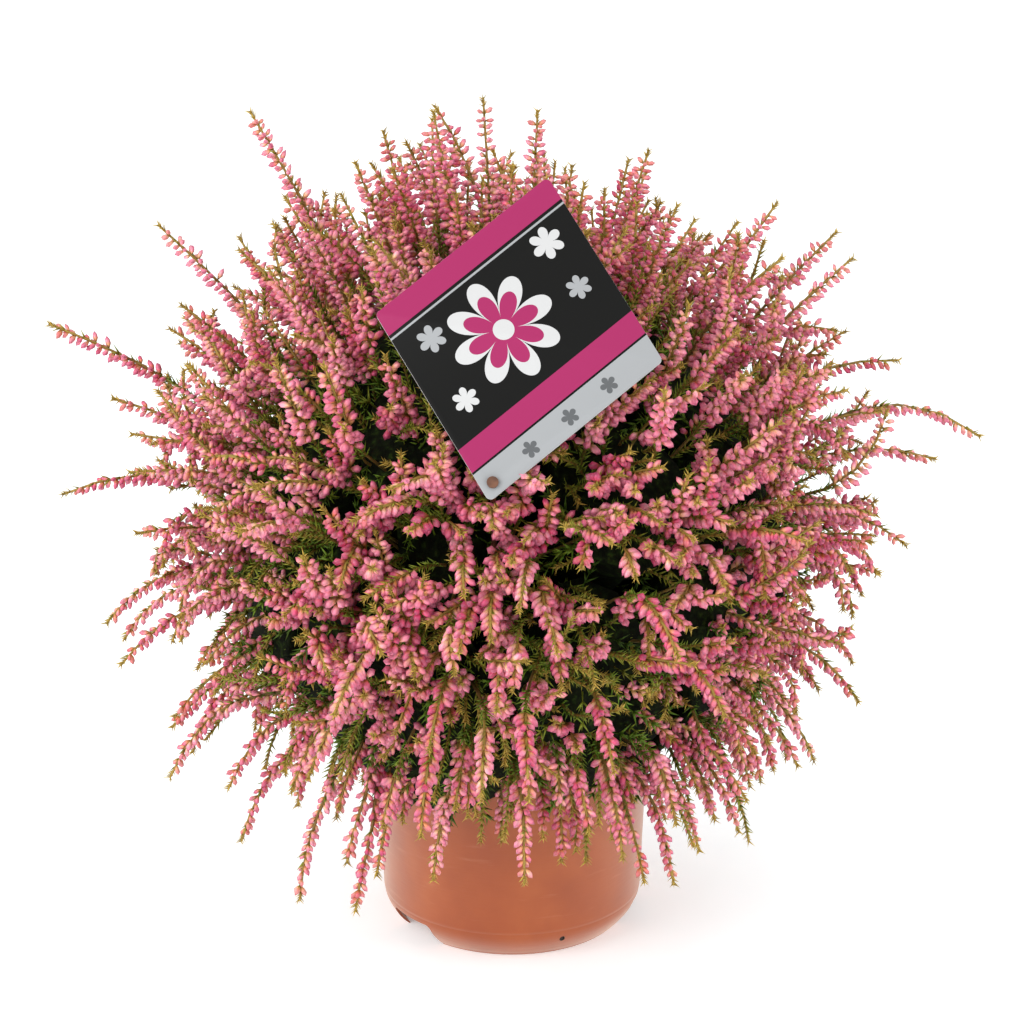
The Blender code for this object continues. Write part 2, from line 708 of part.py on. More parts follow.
def place_label(obj):
    """Weld a flat plate and stand it in the card's own axes."""
    turn = Matrix((CARD_RIGHT, CARD_UP, CARD_OUT)).transposed().to_4x4()
    obj.matrix_world = Matrix.Translation(CARD_CENTRE) @ turn
    obj = settled(obj)
    weld(obj.data)
    return obj


def weld(mesh):
    shape = bmesh.new()
    shape.from_mesh(mesh)
    bmesh.ops.remove_doubles(shape, verts=shape.verts, dist=0.00001)
    bmesh.ops.recalc_face_normals(shape, faces=shape.faces)
    shape.to_mesh(mesh)
    shape.free()


def make_card():
    outline = rounded_rhombus(CARD_HALF_WIDTH, CARD_HALF_HEIGHT, CARD_CORNER_RADIUS)
    hole = []
    for i in range(16):
        angle = 2 * math.pi * i / 16
        hole.append((CARD_HOLE_RADIUS * math.cos(angle), CARD_HOLE_RADIUS * math.sin(angle) - CARD_HOLE_DROP))
    card = place_label(flat_curve("label_card", [outline, hole], CARD_THICKNESS))
    card.data.materials.append(material("printed_card", CARD_COLOUR, 0.35))
    return card


def make_rod():
    """The rod, with a button head before the card and a collar behind it."""
    curve = bpy.data.curves.new("label_rod", "CURVE")
    curve.dimensions = "3D"
    curve.bevel_depth = ROD_RADIUS
    curve.bevel_resolution = 1
    curve.use_fill_caps = True
    _, route = rod_route()
    spline = curve.splines.new("POLY")
    spline.points.add(len(route) - 1)
    for point, place in zip(spline.points, route):
        point.co = (*place, 1)
    rod = settled(add_object("label_rod", curve))
    weld(rod.data)
    offset = CARD_THICKNESS / 2 + GAP + ROD_HEAD_THICKNESS / 2
    discs = []
    for name, side in (("button", 1), ("collar", -1)):
        place = CARD_HOLE + CARD_OUT * side * offset
        disc = cylinder_cutter(name, ROD_HEAD_RADIUS, ROD_HEAD_THICKNESS, place, CARD_OUT, 12)
        discs.append(disc)
    rod = boolean(rod, discs, "UNION")
    rod.data.materials.clear()
    rod.data.materials.append(material("brown_plastic", ROD_COLOUR, 0.5))
    return rod


make_pot()
make_soil()
make_rootstock()
make_card()
make_rod()
make_sprays()

for obj in parts.objects:
    obj.data.shade_smooth()
    obj.data.set_sharp_from_angle(angle=math.radians(35))
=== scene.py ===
"""Potted heather in full bud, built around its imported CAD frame.

A round bush of some nine hundred budding shoots grows from one woody crown in a 12 cm nursery pot of
terracotta-coloured plastic. A printed diamond label on a brown rod leans on the front of the bush.
All sizes are in metres, in the frame's own axes: +Z is up and -Y faces the viewer.
"""

import json
import math

import bmesh
import bpy
import numpy as np
from mathutils import Matrix, Vector

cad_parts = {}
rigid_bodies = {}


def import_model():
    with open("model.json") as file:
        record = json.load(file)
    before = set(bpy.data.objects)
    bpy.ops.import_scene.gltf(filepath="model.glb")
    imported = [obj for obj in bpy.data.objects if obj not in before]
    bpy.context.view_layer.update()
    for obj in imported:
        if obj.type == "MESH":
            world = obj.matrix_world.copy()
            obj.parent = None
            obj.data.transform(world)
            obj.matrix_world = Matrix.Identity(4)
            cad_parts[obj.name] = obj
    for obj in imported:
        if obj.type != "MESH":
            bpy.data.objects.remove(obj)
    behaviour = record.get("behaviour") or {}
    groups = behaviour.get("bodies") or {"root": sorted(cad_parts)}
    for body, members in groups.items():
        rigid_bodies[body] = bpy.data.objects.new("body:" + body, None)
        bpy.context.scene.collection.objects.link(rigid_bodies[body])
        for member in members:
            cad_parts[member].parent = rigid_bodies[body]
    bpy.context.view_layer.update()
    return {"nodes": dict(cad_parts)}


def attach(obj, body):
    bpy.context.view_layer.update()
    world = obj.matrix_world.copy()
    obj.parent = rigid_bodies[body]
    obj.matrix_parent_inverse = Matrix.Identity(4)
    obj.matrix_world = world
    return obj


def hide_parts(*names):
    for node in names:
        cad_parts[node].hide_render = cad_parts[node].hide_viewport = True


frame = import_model()
MM = 0.001


# Camera
# The photograph was taken from about 1.5 m, looking 20 degrees down on the middle of the bush.

CAMERA_PLACE = Vector((0, -1.4095, 0.687))
CAMERA_AIM = Vector((0, 0, 0.174))
CAMERA_ANGLE = math.radians(15.56)

camera = bpy.data.objects.new("camera", bpy.data.cameras.new("camera"))
bpy.context.scene.collection.objects.link(camera)
camera.location = CAMERA_PLACE
camera.rotation_euler = (CAMERA_AIM - CAMERA_PLACE).to_track_quat("-Z", "Y").to_euler()
camera.data.angle = CAMERA_ANGLE
camera.data.clip_end = 20
bpy.context.scene.camera = camera


# Pot
# A 12 cm nursery pot, injection moulded in terracotta-coloured polypropylene. Three arches cut its foot,
# water leaves through six holes in the floor, a shallow hole in the wall is painted near black inside as
# painted shade, and a step marks the mould line.

POT_HEIGHT = 92 * MM
POT_RIM_RADIUS = 60 * MM
POT_NECK_RADIUS = 55.6 * MM
POT_NECK_HEIGHT = 82 * MM
POT_HEEL_RADIUS = 53 * MM
POT_HEEL_HEIGHT = 12 * MM
POT_FOOT_RADIUS = 46 * MM
POT_WALL = 1.4 * MM
POT_FLOOR_UNDERSIDE = 11 * MM
POT_STEPS = 160
POT_SHARP = math.radians(40)
RIM_STEPS = 8
MOULD_STEP = 0.22 * MM
ARCH_AZIMUTHS = (-143, -6, 108)
ARCH_WIDTH = 24 * MM
ARCH_HEIGHT = 10 * MM
ARCH_CORNER = 2 * MM
ARCH_CORNER_STEPS = 4
ARCH_HALF_DEPTH = 9 * MM
DRAIN_COUNT = 6
DRAIN_CIRCLE = 30 * MM
DRAIN_RADIUS = 4.5 * MM
WEEP_AZIMUTH = -67
WEEP_HEIGHT = 8.3 * MM
WEEP_RADIUS = 1.2 * MM
WEEP_DEPTH = 1.1 * MM


def colour(hex_value):
    """An sRGB hex colour as linear RGBA."""
    channels = []
    for start in (0, 2, 4):
        value = int(hex_value[start:start + 2], 16) / 255
        channels.append(value / 12.92 if value <= 0.04045 else ((value + 0.055) / 1.055) ** 2.4)
    return (*channels, 1.0)


def feed(tree, node, sockets):
    """Fill sockets: each takes a plain value, or a link from a node or from one of its outputs."""
    for key, value in sockets.items() if isinstance(sockets, dict) else enumerate(sockets):
        if isinstance(value, bpy.types.Node):
            value = next(output for output in value.outputs if output.enabled)
        if isinstance(value, bpy.types.NodeSocket):
            tree.links.new(value, node.inputs[key])
        else:
            node.inputs[key].default_value = value


def add_node(tree, kind, sockets=(), **settings):
    """Add a node with its settings and fill its sockets."""
    node = tree.nodes.new(kind)
    for name, value in settings.items():
        setattr(node, name, value)
    feed(tree, node, sockets)
    return node


def new_material(name):
    """A material, its tree and its empty Principled shader."""
    made = bpy.data.materials.new(name)
    made.use_nodes = True
    return made, made.node_tree, made.node_tree.nodes["Principled BSDF"]


def object_place(tree):
    """The object coordinates, which the textures read."""
    return add_node(tree, "ShaderNodeTexCoord").outputs["Object"]


def noise(tree, place, scale, detail):
    """A cloudy texture."""
    return add_node(tree, "ShaderNodeTexNoise", {"Vector": place, "Scale": scale, "Detail": detail})


def ramp(tree, source, stops):
    """A colour ramp with its (place, hex colour) stops."""
    node = add_node(tree, "ShaderNodeValToRGB", [source])
    elements = node.color_ramp.elements
    while len(elements) < len(stops):
        elements.new(1.0)
    for element, (place, value) in zip(elements, stops):
        element.position = place
        element.color = colour(value)
    return node


def ranged(tree, value, *limits):
    """A value brought from one range to another: from least, from most, to least, to most."""
    return add_node(tree, "ShaderNodeMapRange", [value, *limits])


def blended(tree, share, under, over, mode="MIX"):
    """One colour laid over another by a share."""
    mix = add_node(
        tree, "ShaderNodeMix", {0: share, 6: under, 7: over}, data_type="RGBA", blend_type=mode)
    return mix.outputs[2]


def relief(tree, height, strength, distance):
    """A bump made from a height."""
    return add_node(tree, "ShaderNodeBump", {"Height": height, "Strength": strength, "Distance": distance})


def vector(tree, operation, sockets):
    """A calculation with vectors."""
    return add_node(tree, "ShaderNodeVectorMath", sockets, operation=operation)


def coat(piece, finish):
    """Give a piece its one material."""
    piece.data.materials.clear()
    piece.data.materials.append(finish)


def add_piece(name, mesh):
    """Put a mesh into the scene as an object at the origin."""
    piece = bpy.data.objects.new(name, mesh)
    bpy.context.scene.collection.objects.link(piece)
    return piece


def baked(piece):
    """Turn the piece's modifiers into plain mesh."""
    bpy.context.view_layer.update()
    evaluated = piece.evaluated_get(bpy.context.evaluated_depsgraph_get())
    mesh = bpy.data.meshes.new_from_object(evaluated)
    piece.modifiers.clear()
    piece.data = mesh
    return piece


def mesh_of(name, shape):
    """Turn a closed shape into a mesh whose faces look outward."""
    shape.normal_update()
    bmesh.ops.recalc_face_normals(shape, faces=shape.faces)
    mesh = bpy.data.meshes.new(name)
    shape.to_mesh(mesh)
    shape.free()
    return mesh


def circle(radius, count, height=0.0, turn=0.0):
    """Points on a circle about the Z axis, turned by a share of a step."""
    angles = [2 * math.pi * (i + turn) / count for i in range(count)]
    return [Vector((radius * math.cos(a), radius * math.sin(a), height)) for a in angles]


def skin(shape, rings):
    """Span faces between rings of vertices. A ring of one vertex is a point that closes an end."""
    steps = max(map(len, rings))
    for low, high in zip(rings, rings[1:]):
        for i in range(steps):
            j = (i + 1) % steps
            corners = [low[i % len(low)], low[j % len(low)], high[j % len(high)], high[i % len(high)]]
            shape.faces.new(list(dict.fromkeys(corners)))


def lathe(name, profile, steps):
    """A closed solid turned from a profile of (radius, height) points that starts and ends on the axis."""
    shape = bmesh.new()
    rings = []
    for radius, height in profile:
        rings.append([shape.verts.new(spot) for spot in circle(radius, steps if radius else 1, height)])
    skin(shape, rings)
    return add_piece(name, mesh_of(name, shape))


def around(azimuth, radius, height):
    """A point on a circle about the pot's axis."""
    angle = math.radians(azimuth)
    return Vector((radius * math.cos(angle), radius * math.sin(angle), height))


def heel_radius(height):
    """The outer radius of the wall's rounded lower edge."""
    swell = math.sin(math.pi / 2 * height / POT_HEEL_HEIGHT)
    return POT_FOOT_RADIUS + (POT_HEEL_RADIUS - POT_FOOT_RADIUS) * swell


def heel_profile(inset, top, steps):
    """The rounded lower edge of the wall, from a height down to the foot."""
    heights = [top * (1 - i / steps) for i in range(steps + 1)]
    return [(heel_radius(height) - inset, height) for height in heights]


def pot_inner_radius(height):
    """The radius of the wall's inner side."""
    rise = (height - POT_HEEL_HEIGHT) / (POT_NECK_HEIGHT - POT_HEEL_HEIGHT)
    return POT_HEEL_RADIUS + (POT_NECK_RADIUS - POT_HEEL_RADIUS) * rise - POT_WALL


pot_floor_top = POT_FLOOR_UNDERSIDE + POT_WALL
rim_round = POT_WALL / 2
pot_profile = [
    (0, pot_floor_top),
    (pot_inner_radius(pot_floor_top) - POT_WALL, pot_floor_top),
    (pot_inner_radius(pot_floor_top), pot_floor_top + POT_WALL / 2),
    (pot_inner_radius(POT_NECK_HEIGHT), POT_NECK_HEIGHT),
    (POT_RIM_RADIUS - POT_WALL - MM, POT_NECK_HEIGHT + POT_WALL),
]
for i in range(RIM_STEPS + 1):
    turn = math.pi * i / RIM_STEPS
    across = POT_RIM_RADIUS - rim_round - rim_round * math.cos(turn)
    pot_profile.append((across, POT_HEIGHT - rim_round + rim_round * math.sin(turn)))
pot_profile += [
    (POT_RIM_RADIUS - 0.2 * MM, POT_NECK_HEIGHT + 0.6 * MM),
    (POT_RIM_RADIUS - 0.7 * MM, POT_NECK_HEIGHT),
    (POT_NECK_RADIUS + 0.4 * MM, POT_NECK_HEIGHT - 0.3 * MM),
    (POT_NECK_RADIUS, POT_NECK_HEIGHT - 1.2 * MM),
    (POT_HEEL_RADIUS + 0.05 * MM, POT_HEEL_HEIGHT + 1.6 * MM),
    (POT_HEEL_RADIUS, POT_HEEL_HEIGHT + 0.6 * MM),
    (POT_HEEL_RADIUS - MOULD_STEP, POT_HEEL_HEIGHT + 0.3 * MM),
]
pot_profile += [(radius - MOULD_STEP, height) for radius, height in heel_profile(0, POT_HEEL_HEIGHT, 8)[:-1]]
pot_profile += [
    (POT_FOOT_RADIUS - MOULD_STEP, 0.35 * MM),
    (POT_FOOT_RADIUS - 0.4 * MM, 0),
    (POT_FOOT_RADIUS - POT_WALL + 0.2 * MM, 0),
]
pot_profile += list(reversed(heel_profile(POT_WALL, POT_FLOOR_UNDERSIDE, 5)))[1:]
pot_profile += [(0, POT_FLOOR_UNDERSIDE)]
pot = lathe("pot_moulding", pot_profile, POT_STEPS)

cutters = bpy.data.collections.new("pot_cutters")
bpy.context.scene.collection.children.link(cutters)


def add_cutter(name, shape, place, axis):
    """A cutter for the pot: a shape about the origin, turned to an axis and moved to its place."""
    shape.transform(Matrix.Translation(place) @ axis.to_track_quat("Z", "Y").to_matrix().to_4x4())
    cutters.objects.link(bpy.data.objects.new(name, mesh_of(name, shape)))


def arch_block():
    """A block with two rounded upper corners, as wide and high as an arch."""
    shape = bmesh.new()
    corners = [(-ARCH_WIDTH / 2, -ARCH_HEIGHT)]
    for centre, first in ((-ARCH_WIDTH / 2 + ARCH_CORNER, 180), (ARCH_WIDTH / 2 - ARCH_CORNER, 90)):
        for i in range(ARCH_CORNER_STEPS + 1):
            turn = math.radians(first - 90 * i / ARCH_CORNER_STEPS)
            rise = ARCH_HEIGHT - ARCH_CORNER + ARCH_CORNER * math.sin(turn)
            corners.append((centre + ARCH_CORNER * math.cos(turn), rise))
    corners.append((ARCH_WIDTH / 2, -ARCH_HEIGHT))
    back, front = ([shape.verts.new((*corner, depth)) for corner in corners]
                   for depth in (-ARCH_HALF_DEPTH, ARCH_HALF_DEPTH))
    shape.faces.new(back)
    shape.faces.new(list(reversed(front)))
    skin(shape, [front, back])
    return shape


def round_bar(radius, length, steps):
    """A round bar for a drilled hole."""
    shape = bmesh.new()
    bmesh.ops.create_cone(
        shape, cap_ends=True, segments=steps, radius1=radius, radius2=radius, depth=length)
    return shape


for i, azimuth in enumerate(ARCH_AZIMUTHS):
    add_cutter(f"arch_{i}", arch_block(), around(azimuth, POT_FOOT_RADIUS, 0), around(azimuth, 1, 0))
for i in range(DRAIN_COUNT):
    drain = around(360 / DRAIN_COUNT * i, DRAIN_CIRCLE, POT_FLOOR_UNDERSIDE)
    add_cutter(f"drain_{i}", round_bar(DRAIN_RADIUS, 8 * POT_WALL, 24), drain, Vector((0, 0, 1)))
weep_bottom = heel_radius(WEEP_HEIGHT) - WEEP_DEPTH
weep = around(WEEP_AZIMUTH, weep_bottom + POT_WALL, WEEP_HEIGHT)
add_cutter("weep", round_bar(WEEP_RADIUS, 2 * POT_WALL, 16), weep, around(WEEP_AZIMUTH, 1, 0))
for cutter in cutters.objects:
    cut = pot.modifiers.new(cutter.name, "BOOLEAN")
    cut.operation = "DIFFERENCE"
    cut.object = cutter
    cut.solver = "MANIFOLD"
pot = baked(pot)
for cutter in list(cutters.objects):
    bpy.data.objects.remove(cutter, do_unlink=True)
bpy.data.collections.remove(cutters)
pot.data.shade_smooth()
pot.data.set_sharp_from_angle(angle=POT_SHARP)

# Moulded polypropylene with recycled filler: satin, a little cloudy, with faint drag marks round the wall
# and pale rubs where pots have been stacked.
terracotta, tree, shader = new_material("polypropylene_terracotta_satin")
place = object_place(tree)
cloud = noise(tree, place, 45.0, 4.0)
tint = ramp(tree, cloud, [(0.3, "944218"), (0.55, "9D491B"), (0.8, "A75322")])
around_wall = add_node(tree, "ShaderNodeMapping", {"Vector": place, "Scale": (1.0, 1.0, 9.0)})
drag = noise(tree, around_wall, 120.0, 6.0)
rub = ranged(tree, noise(tree, around_wall, 38.0, 8.0), 0.63, 0.74, 0.0, 0.12)
worn = blended(tree, rub, tint, colour("E0A684"))
# Painted shade: the inside of the shallow weep hole is painted near black.
weep_place = tuple(around(WEEP_AZIMUTH, weep_bottom, WEEP_HEIGHT))
from_weep = vector(tree, "DISTANCE", [place, weep_place])
weep_painted_shade = ranged(tree, from_weep.outputs["Value"], WEEP_RADIUS, 1.2 * WEEP_RADIUS, 1.0, 0.0)
feed(tree, shader, {
    "Base Color": blended(tree, weep_painted_shade, worn, colour("1C100A")),
    "Roughness": ranged(tree, drag, 0.0, 1.0, 0.28, 0.44),
    "Normal": relief(tree, drag, 0.12, 0.4 * MM),
    "IOR": 1.49, "Specular IOR Level": 0.42,
    "Sheen Weight": 0.65, "Sheen Roughness": 0.46, "Sheen Tint": colour("FFEEDD"),
    "Subsurface Weight": 0.06, "Subsurface Radius": (2 * MM, 0.8 * MM, 0.4 * MM),
})
coat(pot, terracotta)
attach(pot, "root")
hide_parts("pot")


# Compost
# Peat compost fills the pot to just under its collar. It is dark and crumbly: a lumpy block, with loose
# crumbs of peat and bark scattered over its top.

SOIL_TOP = 80 * MM
SOIL_GAP = 0.3 * MM
SOIL_EDGE = pot_inner_radius(SOIL_TOP) - SOIL_GAP
SOIL_FLOOR = pot_floor_top + SOIL_GAP
SOIL_RINGS = 24
SOIL_STEPS = 72
SOIL_LUMPS_TO = 0.93
SOIL_LUMP = 0.7 * MM
CRUMB_SIZE = 2.2 * MM
CRUMBS_PER_SQUARE_METRE = 50000.0


def new_tree(name, **inputs):
    """A Geometry Nodes tree with a geometry socket at each end and the named inputs of each kind."""
    tree = bpy.data.node_groups.new(name, "GeometryNodeTree")
    tree.interface.new_socket("Geometry", in_out="INPUT", socket_type="NodeSocketGeometry")
    tree.interface.new_socket("Geometry", in_out="OUTPUT", socket_type="NodeSocketGeometry")
    for kind, names in inputs.items():
        for item in names:
            tree.interface.new_socket(item, in_out="INPUT", socket_type=f"NodeSocket{kind}")
    return tree


def run_tree(piece, tree, values):
    """Run a node tree on a piece with its named inputs set, and keep the result as plain mesh."""
    modifier = piece.modifiers.new(tree.name, "NODES")
    modifier.node_group = tree
    for item in tree.interface.items_tree:
        if item.in_out == "INPUT" and item.name in values:
            modifier[item.identifier] = values[item.name]
    return baked(piece)


def calc(tree, operation, *values):
    """A calculation with plain numbers."""
    return add_node(tree, "ShaderNodeMath", values, operation=operation)


def chance(tree, least, most, seed):
    """A random number for each point, or a random vector between two vectors."""
    if isinstance(least, tuple):
        limits, kind = {0: least, 1: most}, "FLOAT_VECTOR"
    else:
        limits, kind = {2: least, 3: most}, "FLOAT"
    return add_node(tree, "FunctionNodeRandomValue", {**limits, "Seed": seed}, data_type=kind)


def stood(tree, points, thing, turn, size):
    """An instance of a thing on each point."""
    shape_of = add_node(tree, "GeometryNodeObjectInfo", [thing]).outputs["Geometry"]
    return add_node(
        tree, "GeometryNodeInstanceOnPoints",
        {"Points": points, "Instance": shape_of, "Rotation": turn, "Scale": size})


def joined(tree, *parts):
    """The parts as one real geometry."""
    join = add_node(tree, "GeometryNodeJoinGeometry")
    for part in parts:
        feed(tree, join, [part])
    return add_node(tree, "GeometryNodeRealizeInstances", [join])


def with_finish(tree, geometry, finish):
    """A geometry with its material."""
    return add_node(tree, "GeometryNodeSetMaterial", {"Geometry": geometry, "Material": finish})


soil_profile = [(SOIL_EDGE * i / SOIL_RINGS, SOIL_TOP) for i in range(SOIL_RINGS + 1)]
soil_profile += [(pot_inner_radius(SOIL_FLOOR) - 2 * SOIL_GAP, SOIL_FLOOR), (0, SOIL_FLOOR)]
soil = lathe("compost_fill", soil_profile, SOIL_STEPS)
for vertex in soil.data.vertices:
    spot = vertex.co
    if spot.z > SOIL_TOP - MM and spot.xy.length < SOIL_LUMPS_TO * SOIL_EDGE:
        lump = math.sin(spot.x / (7 * MM) + 1) * math.cos(spot.y / (6 * MM)) + math.sin(spot.y / (11 * MM))
        lump += 0.5 * math.sin(spot.x / (2.3 * MM)) * math.sin(spot.y / (2.7 * MM) + 2)
        spot.z += SOIL_LUMP * lump

crumb_shape = bmesh.new()
bmesh.ops.create_icosphere(crumb_shape, subdivisions=1, radius=0.5)
rng = np.random.default_rng(5)
for vertex in crumb_shape.verts:
    vertex.co *= 1 + 0.25 * rng.uniform(-1, 1)
crumb = bpy.data.objects.new("crumb", mesh_of("crumb", crumb_shape))

scatter = new_tree(
    "scatter_crumbs", Object=["Crumb"], Float=["Density", "Size"], Int=["Seed"], Material=["Finish"])
given = add_node(scatter, "NodeGroupInput").outputs
slope = add_node(scatter, "ShaderNodeSeparateXYZ", [add_node(scatter, "GeometryNodeInputNormal")])
upward = add_node(scatter, "FunctionNodeCompare", [slope.outputs["Z"], 0.7], operation="GREATER_THAN")
points = add_node(
    scatter, "GeometryNodeDistributePointsOnFaces",
    {"Mesh": given["Geometry"], "Selection": upward, "Density": given["Density"], "Seed": given["Seed"]})
size = calc(scatter, "MULTIPLY", chance(scatter, 0.35, 1.2, 3), given["Size"])
tumble = chance(scatter, (0, 0, 0), (6.28, 6.28, 6.28), 4)
crumbs = stood(scatter, points, given["Crumb"], tumble, size)
heap = joined(scatter, crumbs, given["Geometry"])
add_node(scatter, "NodeGroupOutput", [with_finish(scatter, heap, given["Finish"])])

# Damp peat: nearly black brown and dull, with paler fibres and the odd pale grain of sand.
peat, tree, shader = new_material("peat_compost_damp")
fibre = noise(tree, object_place(tree), 420.0, 6.0)
feed(tree, shader, {
    "Base Color": ramp(tree, fibre, [(0.3, "17110C"), (0.5, "2C2118"), (0.68, "4A3826"), (0.78, "7A654A")]),
    "Roughness": 0.92, "Normal": relief(tree, fibre, 0.8, 0.6 * MM),
})
soil = run_tree(
    soil, scatter,
    {"Crumb": crumb, "Density": CRUMBS_PER_SQUARE_METRE, "Size": CRUMB_SIZE, "Seed": 2, "Finish": peat})
bpy.data.objects.remove(crumb)
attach(soil, "root")
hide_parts("compost")


# Rootstock
# The woody base that every shoot grows from: a short trunk set in the compost, swollen to a knotty crown.
# The CAD solid shows its form, and it gets the flaking grey-brown bark of old heather.

bark, tree, shader = new_material("heather_bark_flaking")
upright = add_node(tree, "ShaderNodeMapping", {"Vector": object_place(tree), "Scale": (1.0, 1.0, 0.25)})
flakes = add_node(
    tree, "ShaderNodeTexVoronoi", {"Vector": upright, "Scale": 380.0}, feature="DISTANCE_TO_EDGE")
strips = noise(tree, upright, 600.0, 6.0)
feed(tree, shader, {
    "Base Color": ramp(tree, strips, [(0.3, "3A2A1E"), (0.55, "5E4632"), (0.75, "8A745C")]),
    "Roughness": 0.88, "Normal": relief(tree, flakes, 0.7, 0.8 * MM),
})
coat(frame["nodes"]["rootstock"], bark)


# Label frame
# The diamond card leans back against the bush, turned ten degrees, and a rod holds it near its lower
# corner. Shoots keep clear of both, so their places are set before the bush.

CARD_CENTRE = Vector((2.5 * MM, -95 * MM, 276.7 * MM))
CARD_TILT = math.radians(36)
CARD_TURN = math.radians(9.7)
CARD_HALF_HEIGHT = 63.8 * MM
CARD_HALF_WIDTH = 53.6 * MM
CARD_THICKNESS = 0.8 * MM
CARD_CORNER_RADIUS = 2 * MM
CARD_HOLE_RADIUS = 1.5 * MM
CARD_HOLE_DROP = 56.5 * MM
ROD_KNEE = 12 * MM
ROD_SOIL_ENTRY = Vector((-5 * MM, -38 * MM, 80 * MM))
ROD_BURIED = 34 * MM

level = Vector((1, 0, 0))
steep = Vector((0, math.sin(CARD_TILT), math.cos(CARD_TILT)))
CARD_OUT = Vector((0, -math.cos(CARD_TILT), math.sin(CARD_TILT)))
CARD_UP = steep * math.cos(CARD_TURN) + level * math.sin(CARD_TURN)
CARD_RIGHT = level * math.cos(CARD_TURN) - steep * math.sin(CARD_TURN)
CARD_HOLE = CARD_CENTRE - CARD_UP * CARD_HOLE_DROP
ROD_TOP = CARD_HOLE - CARD_OUT * ROD_KNEE
ROD_RISE = (ROD_TOP - ROD_SOIL_ENTRY).normalized()
ROD_FOOT = ROD_SOIL_ENTRY - ROD_RISE * ROD_BURIED


# Course of the shoots
# Every shoot is one smooth stream from the crown to its own tip on the dome: it sets out steeply, leans
# out, and droops the more it leans. The first shoots are those of the CAD sprays, and finer ones fill in.

# The crown that the shoots start on, and the dome that their tips reach, measured from its heart. Angles here
# are in degrees.
CROWN = Vector((0, 0, 102 * MM))
CROWN_RADIUS = 14 * MM
CROWN_GAP = 0.3 * MM
HEART = Vector((0, 0, 160 * MM))
LEAN_LIMIT = 140
REACH_SIDE = 150 * MM
REACH_TOP_EXTRA = 18 * MM
REACH_SKIRT_LOSS = 34 * MM
REACH_SCATTER = 7 * MM

# How the shoots set out, and how they droop with their lean.
SET_OUT_SHARE = 0.6
DROOP = 36
DROOP_FROM = 50
DROOP_OVER = 90
DROOP_SLACK = 0.35
STEEPEST_END = 178

# How far the shoots keep from the rod and the card, and where they fan out from their spray's axis.
ROD_CLEAR = 10.5 * MM
FINE_ROD_CLEAR = 6 * MM
FINE_ROD_BACK = 8 * MM
ROD_INFLUENCE = 26 * MM
CARD_CLEAR = 9 * MM
CARD_MARGIN = 1.15
FAN_FROM = 0.36
FAN_OVER = 0.44
SAMPLES = 40
SHOOT_SEED = 23
FILLER_SEED = 61

# The outstanding shoots: azimuth, lean (degrees), reach (mm) and how far each tip nods (degrees).
LONG_SHOOTS = [
    (169, 31, 202, 0), (-174, 31, 171, 0), (180, 46, 191, 0), (-167, 50, 170, 0), (165, 62, 157, 0),
    (180, 63, 204, 0), (-171, 66, 172, 0), (171, 76, 160, 0), (161, 86, 168, 0), (-177, 82, 180, 20),
    (-163, 82, 154, 0), (-173, 99, 165, 25), (169, 108, 172, 20), (-162, 101, 164, 20),
    (-152, 107, 155, 10), (-171, 122, 154, 20), (-158, 118, 165, 10), (-151, 130, 160, 0),
    (-138, 137, 165, 0), (-124, 130, 149, 0), (-121, 134, 163, 0), (-105, 129, 150, 0),
    (180, 21, 169, 0), (149, 20, 173, 0), (-162, 10, 183, 0), (114, 9, 179, 0), (-90, 13, 171, 0),
    (50, 5, 176, 0), (-59, 18, 170, 0), (0, 18, 171, 0), (37, 25, 158, 0), (-25, 25, 164, 0),
    (27, 40, 158, 0), (0, 36, 175, 0), (-21, 40, 171, 10), (4, 45, 180, 0), (-6, 47, 181, 0),
    (16, 61, 160, 0), (0, 63, 171, 25), (-14, 65, 162, 10), (6, 80, 174, 20), (-3, 75, 191, 45),
    (-11, 86, 158, 30), (-9, 107, 144, 20), (-18, 109, 152, 15), (-41, 114, 136, 0),
    (-28, 119, 145, 10), (-42, 127, 149, 0), (-53, 127, 150, 0), (-58, 131, 156, 0), (-65, 129, 154, 0),
    (84, 66, 196, 10), (110, 48, 188, 0), (128, 70, 186, 15), (60, 58, 184, 0), (42, 84, 182, 25),
    (96, 92, 176, 20), (140, 96, 178, 20), (66, 120, 160, 10), (118, 128, 158, 0), (20, 126, 152, 10),
    (-88, 100, 182, 25), (-70, 84, 176, 20), (-112, 92, 172, 20), (-128, 72, 170, 10), (-48, 74, 168, 10),
    (-97, 84, 158, 20), (-76, 102, 158, 20), (-103, 112, 162, 20), (-88, 122, 160, 15), (-60, 96, 158, 15),
    (-120, 106, 158, 15), (-72, 120, 156, 10), (-90, 72, 152, 10), (-84, 84, 156, 15), (-92, 92, 158, 15),
    (-101, 98, 160, 15), (-94, 104, 165, 20),
]

# Thin places where the shoots are short and the leafy inside shows: azimuth, lean, width, loss of reach.
HOLLOWS = [(-133, 94, 12, 26), (-118, 118, 11, 20), (-93, 76, 8, 16), (-70, 112, 12, 22), (-47, 104, 9, 18)]

# The shoots of the CAD sprays: how many there are, and how they spread over the dome and gather in sprays.
CAD_SHOOTS = 147
SKIRT_COUNT = 20
SKIRT_LEANS = (139, 128)
SPRAY_COUNT = 40
SPREAD_ROUNDS = 40
SPREAD_ANGLE = 17
SPREAD_STEP = 0.3
OWNER_ROUNDS = 6
DOME_NOD = 16
DOME_SWING = 38

